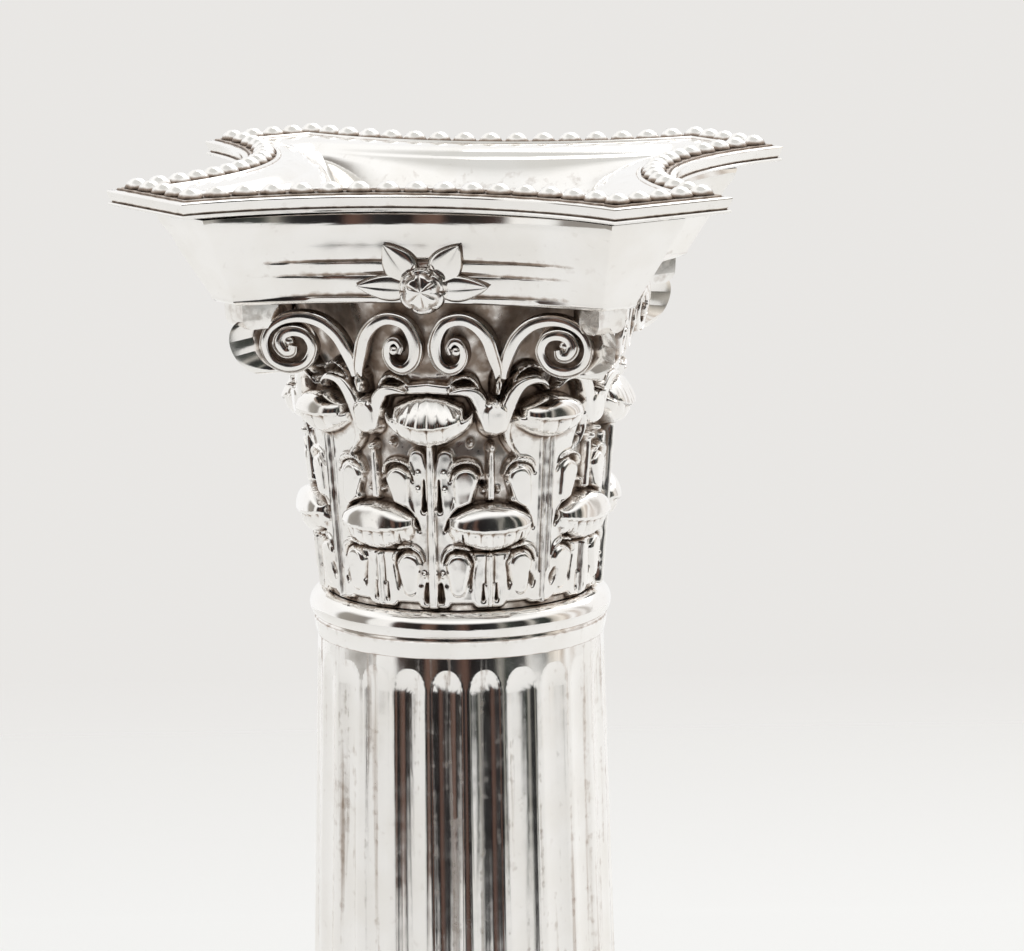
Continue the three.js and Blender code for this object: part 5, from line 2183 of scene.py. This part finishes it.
@dataclass
class Studio:
    """Camera, table and light."""

    lens: float = 167.94
    distance: float = 0.5562
    height: float = 0.3711
    bearing: float = 10.53
    aside: float = 0.647
    tilt: float = 10.63
    roll: float = -0.584
    table_front: float = 0.95
    front_fade: float = 0.2
    table_back: float = 1.05
    table_side: float = 1.3
    fade: float = 0.3
    table_white: tuple[float, float, float] = (0.91, 0.91, 0.905)
    ceiling: tuple[float, float, float] = (1.06, 1.06, 1.05)
    ceiling_from: tuple[float, float] = (0.42, 0.66)
    zenith: tuple[float, float, float] = (0.72, 0.72, 0.70)
    zenith_from: tuple[float, float] = (0.80, 0.93)
    backdrop: tuple[float, float, float] = (0.815, 0.80, 0.78)
    brightness: float = 0.96

    def camera(self) -> None:
        """Stands the camera a little to the right of the front, looking slightly down."""
        data = bpy.data.cameras.new("camera")
        data.lens = self.lens
        data.sensor_width = 36.0
        camera = linked("camera", data)
        bearing = math.radians(self.bearing)
        spot = Vector((self.distance * math.sin(bearing), -self.distance * math.cos(bearing), self.height))
        yaw = bearing - math.radians(self.aside)
        tilt, roll = math.radians(self.tilt), math.radians(self.roll)
        forward = Vector((-math.sin(yaw) * math.cos(tilt), math.cos(yaw) * math.cos(tilt), -math.sin(tilt)))
        right = Vector((math.cos(yaw), math.sin(yaw), 0))
        up = right.cross(forward)
        level = math.cos(roll) * right + math.sin(roll) * up
        upright = -math.sin(roll) * right + math.cos(roll) * up
        axes = Matrix((level, upright, -forward)).transposed().to_4x4()
        camera.matrix_world = Matrix.Translation(spot) @ axes
        bpy.context.scene.camera = camera

    def table(self) -> None:
        """Lays a plain pale table that fades out at its front and back edges."""
        angle = math.radians(self.bearing)
        rows = []
        for x, y in (
            (-self.table_side, -self.table_front),
            (self.table_side, -self.table_front),
            (self.table_side, self.table_back),
            (-self.table_side, self.table_back),
        ):
            turned = (x * math.cos(angle) - y * math.sin(angle), x * math.sin(angle) + y * math.cos(angle))
            rows.append((*turned, 0.0))
        mesh = bpy.data.meshes.new("table")
        mesh.from_pydata(rows, [], [(0, 1, 2, 3)])
        table = linked("table", mesh)
        nodes = Nodes("table_top")
        nodes.shader.inputs["Base Color"].default_value = (*self.table_white, 1)
        nodes.shader.inputs["Roughness"].default_value = 0.85
        turn = nodes.add("ShaderNodeMapping")
        turn.inputs["Rotation"].default_value = (0, 0, -angle)
        nodes.join(nodes.place, turn.inputs["Vector"])
        split = nodes.add("ShaderNodeSeparateXYZ")
        nodes.join(turn.outputs["Vector"], split.inputs[0])
        back = nodes.spread(split.outputs["Y"], self.table_back - self.fade, self.table_back, 1.0, 0.0)
        wave = nodes.spread(nodes.noise(7, 1, (1.0, 0.02, 1.0)), 0.35, 0.65, -0.17, 0.17)
        reach_ = nodes.maths("SUBTRACT", split.outputs["Y"], wave)
        front = nodes.spread(reach_, -self.table_front, self.front_fade - self.table_front, 0.0, 1.0)
        nodes.join(nodes.maths("MULTIPLY", back, front), nodes.shader.inputs["Alpha"])
        mesh.materials.append(nodes.material)

    def surroundings(self) -> None:
        """Lights the room: white all round and above, with a dark window of unlit room in front."""
        world = bpy.data.worlds.new("room")
        bpy.context.scene.world = world
        world.use_nodes = True
        room = Wiring(world.node_tree)
        room.tree.nodes.clear()
        add, join, step = room.add, room.join, room.maths
        place = add("ShaderNodeTexCoord").outputs["Generated"]
        split = add("ShaderNodeSeparateXYZ")
        join(place, split.inputs[0])
        x, y, z = split.outputs
        bearing = math.radians(self.bearing)
        s, c = math.sin(bearing), math.cos(bearing)
        toward = step("ADD", step("MULTIPLY", x, s), step("MULTIPLY", y, -c))
        beside = step("ADD", step("MULTIPLY", x, c), step("MULTIPLY", y, s))
        swing = step("ARCTAN2", beside, toward)
        share = step("ADD", step("DIVIDE", swing, 2 * math.pi), 0.5)
        walls = add("ShaderNodeValToRGB")
        walls.color_ramp.interpolation = "EASE"
        stops = (
            (-180, (1.0, 1.0, 1.0)),
            (-112, (1.0, 1.0, 1.0)),
            (-104, (0.34, 0.32, 0.29)),
            (-78, (0.28, 0.26, 0.24)),
            (-72, (0.9, 0.9, 0.88)),
            (-57, (0.95, 0.94, 0.92)),
            (-51, (0.06, 0.04, 0.035)),
            (-40, (0.03, 0.025, 0.022)),
            (-31, (0.02, 0.018, 0.018)),
            (-27, (0.15, 0.09, 0.07)),
            (-21, (0.11, 0.07, 0.055)),
            (-17, (0.016, 0.014, 0.014)),
            (-6, (0.03, 0.028, 0.028)),
            (3, (0.12, 0.07, 0.055)),
            (8, (0.016, 0.014, 0.014)),
            (26, (0.03, 0.03, 0.03)),
            (31, (0.30, 0.29, 0.26)),
            (36, (0.04, 0.045, 0.04)),
            (50, (0.03, 0.03, 0.028)),
            (56, (0.5, 0.48, 0.44)),
            (60, (0.05, 0.055, 0.05)),
            (70, (0.03, 0.035, 0.03)),
            (76, (0.6, 0.56, 0.5)),
            (84, (0.92, 0.87, 0.8)),
            (88, (0.55, 0.48, 0.42)),
            (94, (0.98, 0.98, 0.97)),
            (101, (0.66, 0.6, 0.55)),
            (107, (0.9, 0.88, 0.86)),
            (113, (0.55, 0.52, 0.49)),
            (121, (0.97, 0.96, 0.95)),
            (180, (1.0, 1.0, 1.0)),
        )
        ramp = walls.color_ramp.elements
        while len(ramp) < len(stops):
            ramp.new(0.5)
        for element, (degrees, colour) in zip(ramp, stops):
            element.position = degrees / 360 + 0.5
            element.color = (*colour, 1)
        join(share, walls.inputs[0])
        height = room.spread(z, *self.ceiling_from, 0.0, 1.0, interpolation_type="SMOOTHSTEP")
        sky = room.blend(height, walls.outputs["Color"], self.ceiling)
        crown = room.spread(z, *self.zenith_from, 0.0, 1.0)
        zenith = room.blend(crown, sky, self.zenith)
        seen = add("ShaderNodeBackground")
        seen.inputs["Color"].default_value = (*self.backdrop, 1)
        lit = add("ShaderNodeBackground")
        lit.inputs["Strength"].default_value = self.brightness
        join(zenith, lit.inputs["Color"])
        chooser = add("ShaderNodeMixShader")
        join(add("ShaderNodeLightPath").outputs["Is Camera Ray"], chooser.inputs[0])
        join(lit.outputs[0], chooser.inputs[1])
        join(seen.outputs[0], chooser.inputs[2])
        join(chooser.outputs[0], add("ShaderNodeOutputWorld").inputs[0])

    def lamp(self, name: str, bearing: float, height: float, away: float, size: float, power: float) -> None:
        """Hangs one large soft lamp.

        Args:
            name: The lamp's name.
            bearing: Its bearing in degrees from the front towards the right.
            height: Its height in metres.
            away: Its distance from the axis.
            size: Its width.
            power: Its power in watts.
        """
        data = bpy.data.lights.new(name, "AREA")
        data.shape = "SQUARE"
        data.size = size
        data.energy = power
        lamp = linked(name, data)
        angle = math.radians(bearing)
        spot = Vector((away * math.sin(angle), -away * math.cos(angle), height))
        lamp.location = spot
        lamp.rotation_euler = (Vector((0, 0, 0.25)) - spot).to_track_quat("-Z", "Y").to_euler()

    def build(self) -> None:
        """Sets up the camera, the table and the light."""
        self.camera()
        self.table()
        self.surroundings()
        self.lamp("softbox_above", 160, 1.5, 1.1, 1.3, 7)
        bpy.context.scene.view_settings.view_transform = "Standard"


def main() -> None:
    """Builds every sub-assembly in order."""
    logging.basicConfig(level=logging.INFO, format="%(name)s: %(message)s")
    Studio().build()
    for part in (Underside(), Foot(), Column(), Capital(), Abacus(), Nozzle()):
        part.build()


if __name__ == "__main__":
    main()
